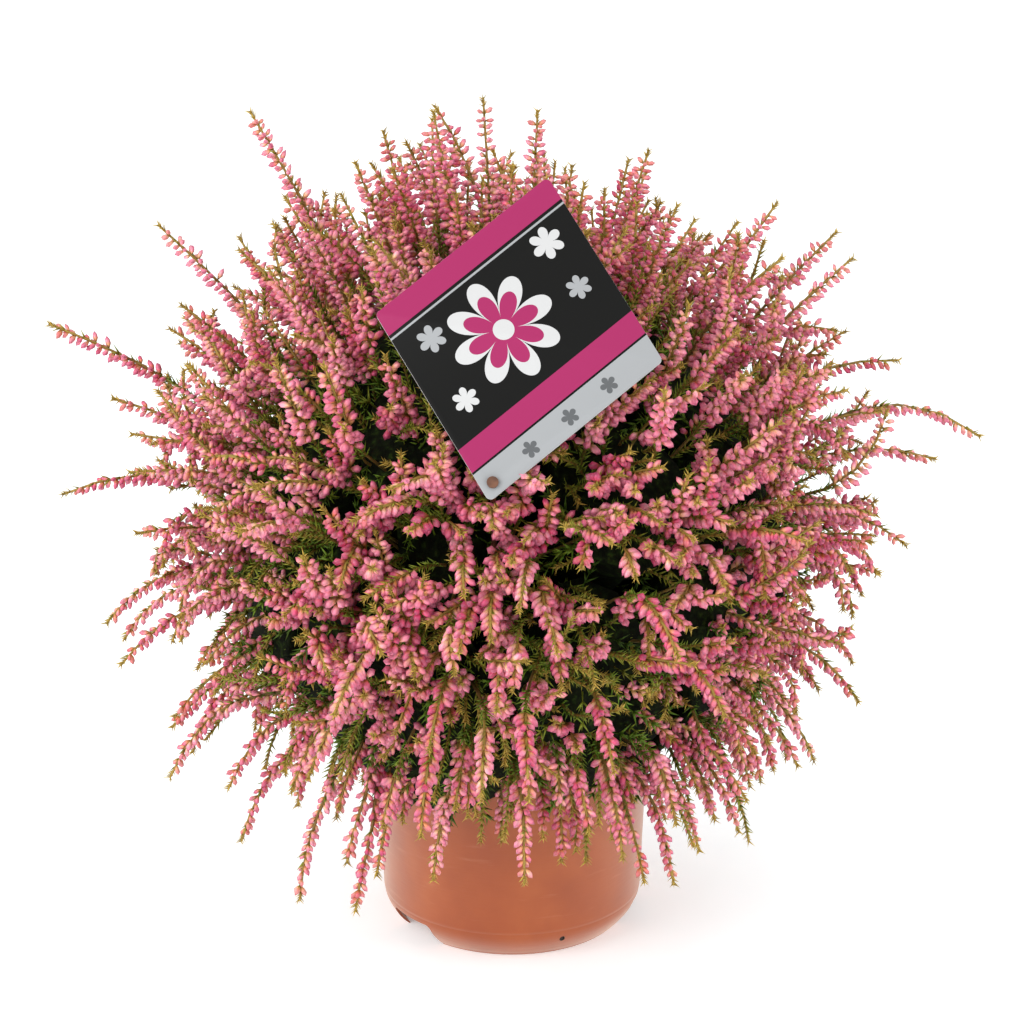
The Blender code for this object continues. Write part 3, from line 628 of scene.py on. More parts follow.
# The finer shoots: budding ones all over, a fringe and a curtain that hang, and green ones below the others.
FILLER_COUNT = 650
FILLER_START = 40.0
FILLER_ANGLE = 8.2
FILLER_BUMP = 6
FILLER_LOSS = 30
FILLER_NOD = (-42, 58)
FILLER_SWING = 95
FILLER_CARD_CLEAR = 7 * MM
FILLER_CARD_MARGIN = 1.05
NOD_FROM = 22
NOD_OVER = 45
FRINGE_COUNT = 64
FRINGE_STRAY = (-3, 3)
FRINGE_LEANS = (114, 134)
FRINGE_REACHES = (128, 154)
FRINGE_SWING = 30
CURTAIN_COUNT = 34
CURTAIN_AZIMUTHS = (-162, -18)
CURTAIN_LEANS = (124, 138)
CURTAIN_REACHES = (118, 140)
CURTAIN_SWING = 40
HANGING_NOD = (0, 16)
LEAFY_COUNT = 330
LEAFY_START = 75.0
LEAFY_SHARE = (0.68, 0.88)
LEAFY_NOD = (-10, 50)
LEAFY_CARD_CLEAR = 16 * MM
GREEN_ANYWHERE = 0.04

# The bush's front, where the shoots are lifted, swing less and have shorter spikes.
FACE_WAY = (-90, 78)
FACE_FROM = 0.45
FACE_OVER = 0.4
FACE_LIFT = 24
FACE_CALM = 0.4
FACE_SHORTER = 0.38

# Places where many of the fine shoots are green: azimuth, lean, width (degrees) and the green share there.
GREEN_PLACES = [
    (-133, 72, 8, 0.8), (-137, 91, 8, 0.6), (-92, 64, 8, 0.5), (-80, 78, 7, 0.8), (-76, 92, 8, 0.8),
    (-68, 104, 9, 0.9), (-60, 89, 7, 0.5), (-92, 110, 13, 0.5), (60, 82, 10, 0.7), (120, 96, 10, 0.7),
    (18, 86, 9, 0.6), (174, 92, 9, 0.6), (-150, 108, 9, 0.6),
]

# Swells and dips of the fine shoots' surface: azimuth, lean, width (degrees) and gain of reach (mm).
SWELLS = [(128, 26, 16, 13), (45, 28, 18, -11), (-117, 86, 12, 7), (-150, 55, 14, 6)]

# Places where extra fine shoots stand: azimuth, lean, width (degrees) and how many.
DENSE_PLACES = [
    (-117, 86, 10, 20), (128, 24, 12, 22), (-152, 62, 10, 14), (-28, 66, 10, 10), (-100, 58, 8, 8),
    (-112, 84, 14, 16), (-72, 80, 14, 12), (-92, 106, 14, 14), (90, 30, 16, 14), (40, 26, 12, 10),
]

# Places where extra leafy shoots stand before the dark inside, in the same order.
LEAFY_PLACES = [(-108, 99, 7, 12), (-68, 104, 9, 12), (-85, 110, 9, 8), (-122, 106, 8, 6)]

# Fine shoots placed singly, before the rod under the card and over the bare places to its right: azimuth,
# lean, reach (mm), nod and swing.
PLACED_SHOOTS = [
    (-93, 66, 136, -15, 0), (-98, 68, 138, 20, 24), (-88, 69, 138, 20, -24), (-92, 73, 142, 10, 8),
    (-97, 77, 146, 40, 10), (-89, 79, 148, 44, -14), (-93, 83, 150, 40, 4), (-98, 88, 150, 45, 24),
    (-90, 90, 152, 42, -16), (-93, 64, 138, 5, 0), (-95, 65.5, 145, 20, 10), (-91, 65, 144, 20, -10),
    (-93, 67, 147, 35, 0), (-71, 60, 142, 10, 20), (-66, 65, 144, -12, -30), (-75, 66, 140, 4, 42),
    (-69, 71, 146, -8, -44), (-62, 76, 146, 6, -25), (-57, 80, 148, -12, 30), (-63, 84, 146, 10, 12),
    (-70, 63, 148, 14, -20), (-64, 60, 146, 8, 26), (-67, 68, 150, 22, 8), (-60, 66, 149, 12, -28),
    (-75, 70, 150, 26, 22), (-58, 78, 150, 28, -18), (-77, 62, 147, 18, -30), (-72, 75, 151, 32, -8),
    (-65, 74, 150, 28, 20), (-80, 73, 150, 28, -24), (-54, 70, 148, 16, 20), (-69, 57, 145, 4, 12),
    (-62, 71, 150, 20, 2), (-73, 66, 149, 10, 4),
]


def direction(azimuth, lean):
    """Unit vector at an azimuth and a lean from the vertical, in degrees."""
    a, b = math.radians(azimuth), math.radians(lean)
    return Vector((math.cos(a) * math.sin(b), math.sin(a) * math.sin(b), math.cos(b)))


def spiral(count, start=0.0):
    """Directions on an even spiral over the dome, from its top to the lean limit."""
    low = math.cos(math.radians(LEAN_LIMIT))
    golden = math.degrees(math.pi * (3 - math.sqrt(5)))
    heights = [1 - (i + 0.5) / count * (1 - low) for i in range(count)]
    ways = [direction(start + i * golden, math.degrees(math.acos(h))) for i, h in enumerate(heights)]
    return np.array(ways)


def spread(fixed, free, angle):
    """Let the free directions push apart from all the others, so that they share the dome evenly."""
    limit = math.radians(angle)
    low = math.cos(math.radians(LEAN_LIMIT))
    for _ in range(SPREAD_ROUNDS):
        every = np.vstack([fixed, free])
        away = free[:, None, :] - every[None, :, :]
        distance = np.linalg.norm(away, axis=2)
        distance[distance < 1e-6] = 9
        strength = np.clip(limit - distance, 0, None) / distance
        free = free + SPREAD_STEP * (away * strength[:, :, None]).sum(axis=1)
        free[:, 2] = np.maximum(free[:, 2], low)
        free /= np.linalg.norm(free, axis=1)[:, None]
    return free


def nearness(way, azimuth, lean, width):
    """How near a direction is to a place: 1 at its middle, and less over its width in degrees."""
    off = math.degrees(way.angle(direction(azimuth, lean)))
    return math.exp(-(off / width) ** 2)


def dome_reach(way):
    """Distance from the heart to the dome's surface: tall on top, tucked in at the skirt."""
    reach = REACH_SIDE + (REACH_TOP_EXTRA if way.z > 0 else REACH_SKIRT_LOSS) * way.z
    for *place, loss in HOLLOWS:
        reach -= loss * MM * nearness(way, *place)
    return reach


def bump(way):
    """A slow rise and fall of the bush's surface, from -1 to 1."""
    return math.sin(7 * way.x + 1) * math.cos(6 * way.y) * 0.6 + math.sin(9 * way.z + 4 * way.x) * 0.4


def green_share(way):
    """The share of the fine shoots that are green round a direction."""
    return max([GREEN_ANYWHERE] + [share * nearness(way, *place) for *place, share in GREEN_PLACES])


def by_card(point):
    """Where a point is by the card: across its diamond, with 1 on the edge, and how far before it."""
    off = point - CARD_CENTRE
    across = abs(off.dot(CARD_RIGHT)) / CARD_HALF_WIDTH + abs(off.dot(CARD_UP)) / CARD_HALF_HEIGHT
    return across, off.dot(CARD_OUT)


def behind_card(way, reach, clear=CARD_CLEAR, margin=CARD_MARGIN):
    """Shorten the reach where the card presses the shoots down."""
    across, before = by_card(HEART + way * reach)
    if across < margin and before + clear > 0:
        reach -= (before + clear) / way.dot(CARD_OUT)
    return reach


def smooth(value):
    """A share from 0 to 1 that sets out and arrives gently."""
    value = min(1, max(0, value))
    return value * value * (3 - 2 * value)


def round_rod(point, side, clear):
    """Move a point clear of the rod, to its shoot's side; fine shoots close up again before the rod."""
    span = ROD_TOP - ROD_FOOT
    along = min(1, max(0, (point - ROD_FOOT).dot(span) / span.length_squared))
    nearest = ROD_FOOT + span * along
    distance = (point - nearest).length
    if distance < ROD_INFLUENCE:
        shift = side * clear * (1 - distance / ROD_INFLUENCE)
        if clear == FINE_ROD_CLEAR:
            shift *= 1 - smooth((nearest.y - point.y) / FINE_ROD_BACK)
        point.x += shift
    return point


def on_face(way):
    """How far a shoot stands on the bush's front, which faces the viewer, from 0 to 1."""
    return smooth((way.dot(direction(*FACE_WAY)) - FACE_FROM) / FACE_OVER)


def stream(way, reach, nod=0, swing=0, clear=ROD_CLEAR):
    """The points of a shoot from the crown's surface to its tip, which nods down and swings to a side."""
    lean = math.degrees(math.acos(max(-1, min(1, way.z))))
    azimuth = math.degrees(math.atan2(way.y, way.x))
    ease = min(1, max(0, (lean - DROOP_FROM) / DROOP_OVER))
    start_way = direction(azimuth, lean * SET_OUT_SHARE)
    end_way = direction(azimuth + swing, min(STEEPEST_END, lean + DROOP * ease + nod))
    start = CROWN + start_way * (CROWN_RADIUS + CROWN_GAP)
    tip = HEART + way * reach
    pull = (tip - start).length * (1 + DROOP_SLACK * ease)
    side = 1 if tip.x > CARD_HOLE.x else -1
    points = []
    for i in range(SAMPLES + 1):
        t = i / SAMPLES
        t2, t3 = t * t, t * t * t
        point = start * (2 * t3 - 3 * t2 + 1) + start_way * pull * (t3 - 2 * t2 + t)
        point += tip * (3 * t2 - 2 * t3) + end_way * pull * (t3 - t2)
        points.append(round_rod(point, side, clear))
    return points


# The shoots of the CAD sprays, drawn in the same order, and the spray that each belongs to. A shoot is its
# direction, its reach, its nod and swing, and its sort.
rng = np.random.default_rng(SHOOT_SEED)
long_ways = np.array([direction(a, b) for a, b, _, _ in LONG_SHOOTS])
skirt = [direction(i * 360 / SKIRT_COUNT, SKIRT_LEANS[i % 2]) for i in range(SKIRT_COUNT)]
dome = spiral(CAD_SHOOTS - SKIRT_COUNT - len(LONG_SHOOTS))
cad_free = spread(long_ways, np.vstack([skirt, dome]), SPREAD_ANGLE)
shoots = []
for way, (_, _, reach, nod) in zip(long_ways, LONG_SHOOTS):
    way = Vector(way)
    shoots.append((way, behind_card(way, reach * MM), nod, 0, "long"))
for way in cad_free:
    way = Vector(way)
    reach = dome_reach(way) + REACH_SCATTER * rng.uniform(-1, 1)
    shoots.append((way, behind_card(way, reach), 0, 0, "dome"))
sway = np.random.default_rng(FILLER_SEED + 2)
for i in range(len(LONG_SHOOTS), CAD_SHOOTS):
    way, reach, _, _, sort = shoots[i]
    nod = sway.uniform(-DOME_NOD, DOME_NOD) - FACE_LIFT * on_face(way)
    shoots[i] = (way, reach, nod, sway.uniform(-DOME_SWING, DOME_SWING), sort)
cad_ways = np.array([shoot[0] for shoot in shoots])
centres = spiral(SPRAY_COUNT)
for _ in range(OWNER_ROUNDS):
    owner = np.argmax(cad_ways @ centres.T, axis=1)
    for j in range(SPRAY_COUNT):
        if np.any(owner == j):
            mean = cad_ways[owner == j].sum(axis=0)
            centres[j] = mean / np.linalg.norm(mean)

# Fine shoots: those placed singly, a fringe round the skirt and a curtain over the pot's rim.
rng = np.random.default_rng(FILLER_SEED)


def hanging(way, reaches, swing, sort):
    """A fine shoot that hangs from the skirt."""
    return way, rng.uniform(*reaches) * MM, rng.uniform(*HANGING_NOD), rng.uniform(-swing, swing), sort


def strewn(places):
    """Directions strewn round places: azimuth, lean, width and how many."""
    ways = []
    for azimuth, lean, width, count in places:
        middle = direction(azimuth, lean)
        ways += [(middle + Vector(rng.normal(0, math.radians(width), 3))).normalized() for _ in range(count)]
    return ways


for azimuth, lean, reach, nod, swing in PLACED_SHOOTS:
    shoots.append((direction(azimuth, lean), reach * MM, nod, swing, "filler"))
for i in range(FRINGE_COUNT):
    way = direction(i * 360 / FRINGE_COUNT + rng.uniform(*FRINGE_STRAY), rng.uniform(*FRINGE_LEANS))
    shoots.append(hanging(way, FRINGE_REACHES, FRINGE_SWING, "filler" if i % 3 else "leafy"))
for i in range(CURTAIN_COUNT):
    way = direction(rng.uniform(*CURTAIN_AZIMUTHS), rng.uniform(*CURTAIN_LEANS))
    shoots.append(hanging(way, CURTAIN_REACHES, CURTAIN_SWING, "short" if i % 2 else "leafy"))

# Finer budding shoots all over: a little shorter, nodding where they lean and swung to any side.
fixed_ways = np.array([shoot[0] for shoot in shoots])
fine_ways = [Vector(way) for way in spread(fixed_ways, spiral(FILLER_COUNT, FILLER_START), FILLER_ANGLE)]
for way in fine_ways + strewn(DENSE_PLACES):
    reach = dome_reach(way) + MM * (FILLER_BUMP * bump(way) - FILLER_LOSS * rng.uniform(0, 1))
    for *place, gain in SWELLS:
        reach += gain * MM * nearness(way, *place)
    leaning = smooth((math.degrees(math.acos(way.z)) - NOD_FROM) / NOD_OVER)
    nod = rng.uniform(*FILLER_NOD) * (0.5 + 0.5 * leaning) - FACE_LIFT * on_face(way)
    swing = rng.uniform(-FILLER_SWING, FILLER_SWING) * (1 - FACE_CALM * on_face(way))
    sort = "leafy" if rng.uniform() < green_share(way) else "filler"
    shoots.append((way, behind_card(way, reach, FILLER_CARD_CLEAR, FILLER_CARD_MARGIN), nod, swing, sort))

# Green shoots without buds, which end a little below the others.
leafy_ways = [Vector(way) for way in spread(cad_ways[:1], spiral(LEAFY_COUNT, LEAFY_START), FILLER_ANGLE)]
for way in leafy_ways + strewn(LEAFY_PLACES):
    reach = dome_reach(way) * rng.uniform(*LEAFY_SHARE)
    nod, swing = rng.uniform(*LEAFY_NOD), rng.uniform(-FILLER_SWING, FILLER_SWING)
    shoots.append((way, behind_card(way, reach, LEAFY_CARD_CLEAR), nod, swing, "leafy"))
every_way = np.array([shoot[0] for shoot in shoots])
owner = np.argmax(every_way @ centres.T, axis=1)


# Sprays
# Forty leafy branches, each with its budding shoots. A shoot has a woody, then green stem, needle leaves
# of 5 mm, a spike of closed pink buds on short stalks, and a tuft of yellow-green needles at its tip.

# The buds, the needle leaves and the tuft at a shoot's tip.
BUD_LENGTH = 6.6 * MM
BUD_RADIUS = 1.55 * MM
BUD_SPACING = 2.8 * MM
BUDS_AROUND = 4
BUD_ANGLE = math.radians(52)
BUD_DROOP = 0.4
BUD_SIZES = (0.88, 1.16)
BUDS_LOST = (0.05, 0.8)
PLUMP = (0.86, 1.0)
NEEDLE_LENGTH = 4.6 * MM
NEEDLE_RADIUS = 0.6 * MM
NEEDLE_SPACING = 2.1 * MM
NEEDLES_AROUND = 3
NEEDLE_ANGLE = math.radians(44)
NEEDLE_SIZES = (1.0, 1.4)
NEEDLE_YOUTH = 0.86
NEEDLES_LOST_IN_BLOOM = 0.82
TUFT_SIZES = (0.5, 0.8)
TUFT_ANGLE = 0.85
TUFT_SPACING = 0.45
TUFT_AROUND = 3
TUFT_YOUTH = 1.1
TURN_SCATTER = (-0.4, 0.4)
LEAN_SCATTER = (-0.22, 0.22)

# The stems, and the lengths (mm) of the spikes on each sort of shoot. A trunk carries no bud and no needle.
STEM_RADIUS = 0.62 * MM
STEM_POINTS = 9
STEM_SIDES = 3
TRUNK_MARKS = (2.0, 2.0, 1.0, 0.0, 1.0)
TRUNK_GIRTH = (3.0, 1.2)
SHOOT_GIRTH = (1.5, 0.9)
SPIKE_LENGTHS = {"long": (46, 60), "dome": (32, 54), "filler": (24, 44), "short": (12, 24), "leafy": (0, 0)}
BARE_TIP = 3.4 * MM
NEEDLES_BELOW_BLOOM = 15 * MM
LEAFY_LENGTH = 50 * MM
WAVE = 1.5 * MM
WAVE_FROM = 0.6
WAVE_OVER = 0.3
STREAM_FROM = 0.42
TRUNK_TO = 0.8

# The leafy core inside a spray, and the sprigs on it.
CORE_SIDES = 12
CORE_STATIONS = (0.1, 0.2, 0.32, 0.43, 0.52, 0.59, 0.65, 0.69)
CORE_TIP = 0.03
CORE_FULL_FROM = 0.5
CORE_RADIUS = 34 * MM
CORE_LEAST = 1.6 * MM
CORE_LUMPS = (0.84, 1.0)
CORE_ROOM = 0.96
CORE_ROD_ROOM = 1.5
CORE_ROD_GAP = 2 * MM
CORE_OUTWARD = 0.4
SPRIG_LENGTH = 12 * MM
SPRIG_WHORLS = 3
SPRIG_SIZES = (0.8, 1.4)
SPRIG_STRAY = ((-0.9, -0.9, -0.9), (0.9, 0.9, 0.7))
SPRIG_DEPTHS = (0.1, 0.75)
SPRIGS_PER_SQUARE_METRE = 8500.0

# The turn from whorl to whorl, and the room that stays free before and behind the card.
GOLDEN_SHARE = 0.382
CARD_GAP = 5 * MM
CARD_GAP_MARGIN = 1.04


def spindle(name, length, rings, sides):
    """A closed bud or needle along +Z, whose rings are turned by half a side against each other."""
    shape = bmesh.new()
    along = shape.verts.layers.float.new("along")
    # Every other side is marked, so that a finish can paint sepal seams with painted highlight and shade.
    seam_and_highlight = shape.verts.layers.float.new("seam_and_highlight")
    last = []
    for k, (share, radius) in enumerate(rings):
        ring = [shape.verts.new(spot) for spot in circle(radius, sides, share * length, 0.5 * k)]
        for i in range(sides):
            ring[i][along] = share
            ring[i][seam_and_highlight] = (i + k) % 2
            j = (i + 1) % sides
            if last:
                shape.faces.new((last[i], last[j], ring[i]))
                shape.faces.new((last[j], ring[j], ring[i]))
        if k == 0:
            first = ring
        last = ring
    for end, ring in ((0.0, first), (1.0, last)):
        if end == 0.0 and rings[0][0] == 0.0:
            shape.faces.new(ring)
            continue
        vertex = shape.verts.new((0, 0, end * length))
        vertex[along] = end
        vertex[seam_and_highlight] = 0.5
        skin(shape, [ring, [vertex]])
    mesh = mesh_of(name, shape)
    mesh.shade_smooth()
    return bpy.data.objects.new(name, mesh)


bud = spindle("closed_bud", BUD_LENGTH, [(0.4, 0.84 * BUD_RADIUS), (0.74, 0.96 * BUD_RADIUS)], 4)
needle = spindle("needle_leaf", NEEDLE_LENGTH, [(0.0, NEEDLE_RADIUS)], 3)

# A short side sprig for the inside: a stem, whorls of three needles and one needle at its tip.
sprig_shape = bmesh.new()
along = sprig_shape.verts.layers.float.new("along")
upright = Vector((0, 0, 1))
sprig_parts = [(0.0, upright, SPRIG_LENGTH, 0.4 * MM), (0.85 * SPRIG_LENGTH, upright, 3 * MM, 0.5 * MM)]
for k in range(SPRIG_WHORLS):
    share = (k + 1) / (SPRIG_WHORLS + 0.5)
    for i in range(3):
        way = direction(120 * i + 58 * k, 52 - 20 * share)
        sprig_parts.append((share * SPRIG_LENGTH, way, NEEDLE_LENGTH * (1.25 - 0.4 * share), NEEDLE_RADIUS))
for height, way, length, radius in sprig_parts:
    turned = way.to_track_quat("Z", "Y")
    foot = Vector((0, 0, height))
    base = [sprig_shape.verts.new(turned @ spot + foot) for spot in circle(radius, 3)]
    tip = sprig_shape.verts.new(way * length + foot)
    tip[along] = 1.0
    sprig_shape.faces.new(base)
    skin(sprig_shape, [base, [tip]])
sprig_mesh = mesh_of("side_sprig", sprig_shape)
sprig_mesh.shade_smooth()
sprig = bpy.data.objects.new("side_sprig", sprig_mesh)

# The tree that dresses a bundle of shoot lines. Each line carries the share of its length where its buds
# begin ("bloom_from") and end ("bloom_to"), and where its needles begin ("leafy_from").
dress = new_tree(
    "dress_shoots", Object=["Bud", "Needle", "Sprig", "Core"],
    Float=["Bud Spacing", "Bud Angle", "Needle Spacing", "Needle Angle", "Stem Radius", "Sprig Density"],
    Int=["Buds Around", "Needles Around", "Seed"], Material=["Bud Finish", "Leaf Finish", "Stem Finish"])
given = add_node(dress, "NodeGroupInput").outputs


def read(name, kind="FLOAT"):
    """A value that lines or points carry."""
    return add_node(dress, "GeometryNodeInputNamedAttribute", [name], data_type=kind)


def store(geometry, name, value, **settings):
    """Let lines, points or instances carry a value."""
    sockets = {"Geometry": geometry, "Name": name, "Value": value}
    return add_node(dress, "GeometryNodeStoreNamedAttribute", sockets, **settings)


def without(points, lost):
    """The points without those that are lost."""
    return add_node(
        dress, "GeometryNodeDeleteGeometry", {"Geometry": points, "Selection": lost}, domain="POINT")


lines = add_node(dress, "GeometryNodeMeshToCurve", [given["Geometry"]])
marked = store(lines, "share", add_node(dress, "GeometryNodeSplineParameter").outputs["Factor"])
share, bloom_from, bloom_to = read("share"), read("bloom_from"), read("bloom_to")


def whorls(spacing, count, lean, keep, droop, seed):
    """Points in whorls along the lines, each with its aim: out from the line and on towards its tip."""
    rows = add_node(dress, "GeometryNodeCurveToPoints", {"Curve": marked, "Length": spacing}, mode="LENGTH")
    points = store(rows.outputs["Points"], "ahead", rows.outputs["Tangent"], data_type="FLOAT_VECTOR")
    points = store(points, "beside", rows.outputs["Normal"], data_type="FLOAT_VECTOR")
    points = store(points, "row", add_node(dress, "GeometryNodeInputIndex"))
    points = add_node(
        dress, "GeometryNodeSeparateGeometry", {"Geometry": points, "Selection": keep}, domain="POINT")
    points = add_node(
        dress, "GeometryNodeDuplicateElements", {"Geometry": points, "Amount": count}, domain="POINT")
    step = calc(dress, "DIVIDE", points.outputs["Duplicate Index"], count)
    turn = calc(dress, "MULTIPLY_ADD", read("row"), GOLDEN_SHARE, step)
    turn = calc(dress, "MULTIPLY_ADD", turn, 2 * math.pi, chance(dress, *TURN_SCATTER, seed))
    ahead, beside = read("ahead", "FLOAT_VECTOR"), read("beside", "FLOAT_VECTOR")
    out = add_node(dress, "ShaderNodeVectorRotate", {"Vector": beside, "Axis": ahead, "Angle": turn})
    lean = calc(dress, "ADD", lean, chance(dress, *LEAN_SCATTER, seed + 1))
    part_out = vector(dress, "SCALE", {0: out, "Scale": calc(dress, "SINE", lean)})
    part_ahead = vector(dress, "SCALE", {0: ahead, "Scale": calc(dress, "COSINE", lean)})
    aim = vector(dress, "ADD", [vector(dress, "ADD", [part_out, part_ahead]), (0.0, 0.0, -droop)])
    points = store(points, "aim", aim, data_type="FLOAT_VECTOR")
    from_heart = vector(dress, "SUBTRACT", [add_node(dress, "GeometryNodeInputPosition"), tuple(HEART)])
    upper = vector(dress, "ADD", [vector(dress, "NORMALIZE", [from_heart]), (0.0, 0.0, 0.8)])
    return store(points, "facing", vector(dress, "DOT_PRODUCT", [out, upper]).outputs["Value"])


def set_out(points, thing, youth, sizes, seed, finish, shrink=0.0, swollen=1.0):
    """Stand a bud, a needle or a sprig on each point, make it real and give it its finish."""
    points = store(points, "youth", youth)
    aim = read("aim", "FLOAT_VECTOR")
    turned = add_node(dress, "FunctionNodeAlignRotationToVector", {"Vector": aim}, axis="Z")
    size = chance(dress, *sizes, seed)
    if shrink:
        size = calc(dress, "MULTIPLY_ADD", read("youth"), -shrink, size)
    things = stood(dress, points, thing, turned, calc(dress, "MULTIPLY", size, swollen))
    things = store(things, "tint", chance(dress, 0.0, 1.0, seed + 1), domain="INSTANCE")
    return with_finish(dress, add_node(dress, "GeometryNodeRealizeInstances", [things]), finish)


# Buds: whorls between the two marks, few on a spike's upper and outward side, where the stem shows.
begun = calc(dress, "GREATER_THAN", share, bloom_from)
unended = calc(dress, "LESS_THAN", share, bloom_to)
in_bloom = calc(dress, "MULTIPLY", begun, unended)
points = whorls(given["Bud Spacing"], given["Buds Around"], given["Bud Angle"], in_bloom, BUD_DROOP, 1)
likely = ranged(dress, read("facing"), 0.0, 1.1, *BUDS_LOST)
points = without(points, calc(dress, "LESS_THAN", chance(dress, 0.0, 1.0, 7), likely))
bloom_share = ranged(dress, share, bloom_from, bloom_to, 0.0, 1.0)
buds = set_out(points, given["Bud"], bloom_share, BUD_SIZES, 9, given["Bud Finish"], 0.3, read("plump"))

# Needles: close whorls on the green part below the buds, thin ones between the buds, and a tuft on top.
in_leaf = calc(dress, "MULTIPLY", calc(dress, "GREATER_THAN", share, read("leafy_from")), unended)
points = whorls(
    given["Needle Spacing"], given["Needles Around"], given["Needle Angle"], in_leaf, 0.0, 20)
unlucky = calc(dress, "LESS_THAN", chance(dress, 0.0, 1.0, 23), NEEDLES_LOST_IN_BLOOM)
points = without(points, calc(dress, "MULTIPLY", unlucky, in_bloom))
greenness = calc(dress, "MULTIPLY", share, NEEDLE_YOUTH)
needles = set_out(points, given["Needle"], greenness, NEEDLE_SIZES, 25, given["Leaf Finish"], 0.5)
beyond = calc(dress, "GREATER_THAN", share, bloom_to)
spacing = calc(dress, "MULTIPLY", given["Needle Spacing"], TUFT_SPACING)
points = whorls(spacing, TUFT_AROUND, TUFT_ANGLE, beyond, 0.0, 30)
tufts = set_out(points, given["Needle"], TUFT_YOUTH, TUFT_SIZES, 35, given["Leaf Finish"])

# Stems: rods as thick as each line's "girth" asks.
coarse = add_node(dress, "GeometryNodeResampleCurve", {"Curve": marked, "Count": STEM_POINTS})
ring = add_node(dress, "GeometryNodeCurvePrimitiveCircle", {"Resolution": STEM_SIDES, "Radius": 1.0})
thick = calc(dress, "MULTIPLY", given["Stem Radius"], read("girth"))
rods = add_node(
    dress, "GeometryNodeCurveToMesh",
    {"Curve": coarse, "Profile Curve": ring, "Scale": thick, "Fill Caps": True})
stems = with_finish(dress, rods, given["Stem Finish"])

# Side sprigs: scattered over the outward side of the leafy mass inside, standing out from it at all angles.
core_shape = add_node(dress, "GeometryNodeObjectInfo", [given["Core"]]).outputs["Geometry"]
scattered = add_node(
    dress, "GeometryNodeDistributePointsOnFaces",
    {"Mesh": core_shape, "Selection": read("outer"), "Density": given["Sprig Density"],
     "Seed": given["Seed"]})
stray = chance(dress, *SPRIG_STRAY, 3)
stand = vector(dress, "ADD", [scattered.outputs["Normal"], stray])
points = store(scattered, "aim", stand, data_type="FLOAT_VECTOR")
depth = chance(dress, *SPRIG_DEPTHS, 50)
sprigs = set_out(points, given["Sprig"], depth, SPRIG_SIZES, 51, given["Leaf Finish"])
add_node(dress, "NodeGroupOutput", [joined(dress, buds, needles, tufts, stems, sprigs, core_shape)])


def carried(tree, name):
    """A value that the mesh carries, for a shader."""
    return add_node(tree, "ShaderNodeAttribute", attribute_name=name).outputs["Fac"]


# Closed heather buds: papery, faintly waxy sepals. Each is straw-coloured at its stalk, then peach and rose
# pink, and mauve where the sepals close; buds differ from pale to deep, and the last of a spike are browner.
bud_skin, tree, shader = new_material("heather_bud_papery")
along = carried(tree, "along")
deep = ramp(
    tree, along, [(0.05, "A47A30"), (0.32, "D88454"), (0.54, "D65676"), (0.8, "C0426A"), (1.0, "86324E")])
pale = ramp(
    tree, along, [(0.05, "B89240"), (0.34, "F4C294"), (0.58, "F4A6B0"), (0.85, "E886A0"), (1.0, "B05A74")])
mood = calc(tree, "ADD", carried(tree, "tint"), carried(tree, "ripeness"))
varied = blended(tree, ranged(tree, mood, 0.35, 1.65, 0.0, 1.0), deep, pale)
# Alternate sepals are painted darker and lighter: partly the sepals' seams, partly painted highlight and
# painted shade.
sepal_seam_and_painted_highlight = ranged(tree, carried(tree, "seam_and_highlight"), 0.0, 1.0, 0.7, 1.28)
age = ranged(tree, carried(tree, "youth"), 0.8, 1.05, 0.0, 0.6)
feed(tree, shader, {
    "Base Color": blended(tree, age, blended(tree, 1.0, varied, sepal_seam_and_painted_highlight, "MULTIPLY"), colour("D68E5A")),
    "Roughness": 0.32,
    "Subsurface Weight": 0.12, "Subsurface Radius": (1.2 * MM, 0.5 * MM, 0.5 * MM),
})

# Needle leaves: thick little evergreen leaves with a dull gloss, dark inside the bush and yellow-green
# at the growing tips.
leaf_skin, tree, shader = new_material("heather_needle_leaf")
growth = ramp(
    tree, carried(tree, "youth"),
    [(0.0, "34500F"), (0.45, "607F1B"), (0.75, "8A8A2A"), (0.95, "A88C3A"), (1.0, "B89A42")])
# Painted shade: each needle is darker at its base, where it sits among the others, and lighter at its tip;
# its tone also varies at random.
lit = calc(tree, "MULTIPLY_ADD", carried(tree, "along"), 0.7, carried(tree, "tint"))
tint_and_painted_shade = ranged(tree, lit, 0.0, 1.7, 0.45, 1.5)
feed(tree, shader, {
    "Base Color": blended(tree, 1.0, growth, tint_and_painted_shade, "MULTIPLY"), "Roughness": 0.55, "Specular IOR Level": 0.3,
})

# Stems: green-brown young wood, browner towards the crown, with a mottled skin.
stem_skin, tree, shader = new_material("heather_young_wood")
mottle = noise(tree, object_place(tree), 300.0, 3.0)
growth = ramp(
    tree, carried(tree, "share"), [(0.0, "4E381C"), (0.5, "685220"), (0.75, "846A28"), (1.0, "A08436")])
feed(tree, shader, {"Base Color": blended(tree, 0.5, growth, mottle, "OVERLAY"), "Roughness": 0.65})

# The leafy inside: a speckled mass of packed needles, painted near black as painted shade inside the bush.
inner_shade_skin, tree, shader = new_material("heather_leaves_painted_shade")
speckle = noise(tree, object_place(tree), 340.0, 5.0)
feed(tree, shader, {
    "Base Color": ramp(tree, speckle, [(0.42, "080B03"), (0.58, "141C07"), (0.72, "293A10")]),
    "Roughness": 0.9, "Specular IOR Level": 0.1, "Normal": relief(tree, speckle, 0.8, 1.2 * MM),
})


def at(line, t):
    """The point at a share t of a sampled line, and the way the line runs there."""
    spot = min(max(t * SAMPLES, 0), SAMPLES - 1e-6)
    i = int(spot)
    return line[i].lerp(line[i + 1], spot - i), (line[i + 1] - line[i]).normalized()


axes = [stream(Vector(centre), dome_reach(Vector(centre))) for centre in centres]
axis_points = [np.array([tuple(at(axis, t)[0]) for t in np.linspace(0.05, 0.85, 25)]) for axis in axes]
rod_points = np.array([tuple(ROD_FOOT.lerp(ROD_TOP, i / 59)) for i in range(60)])


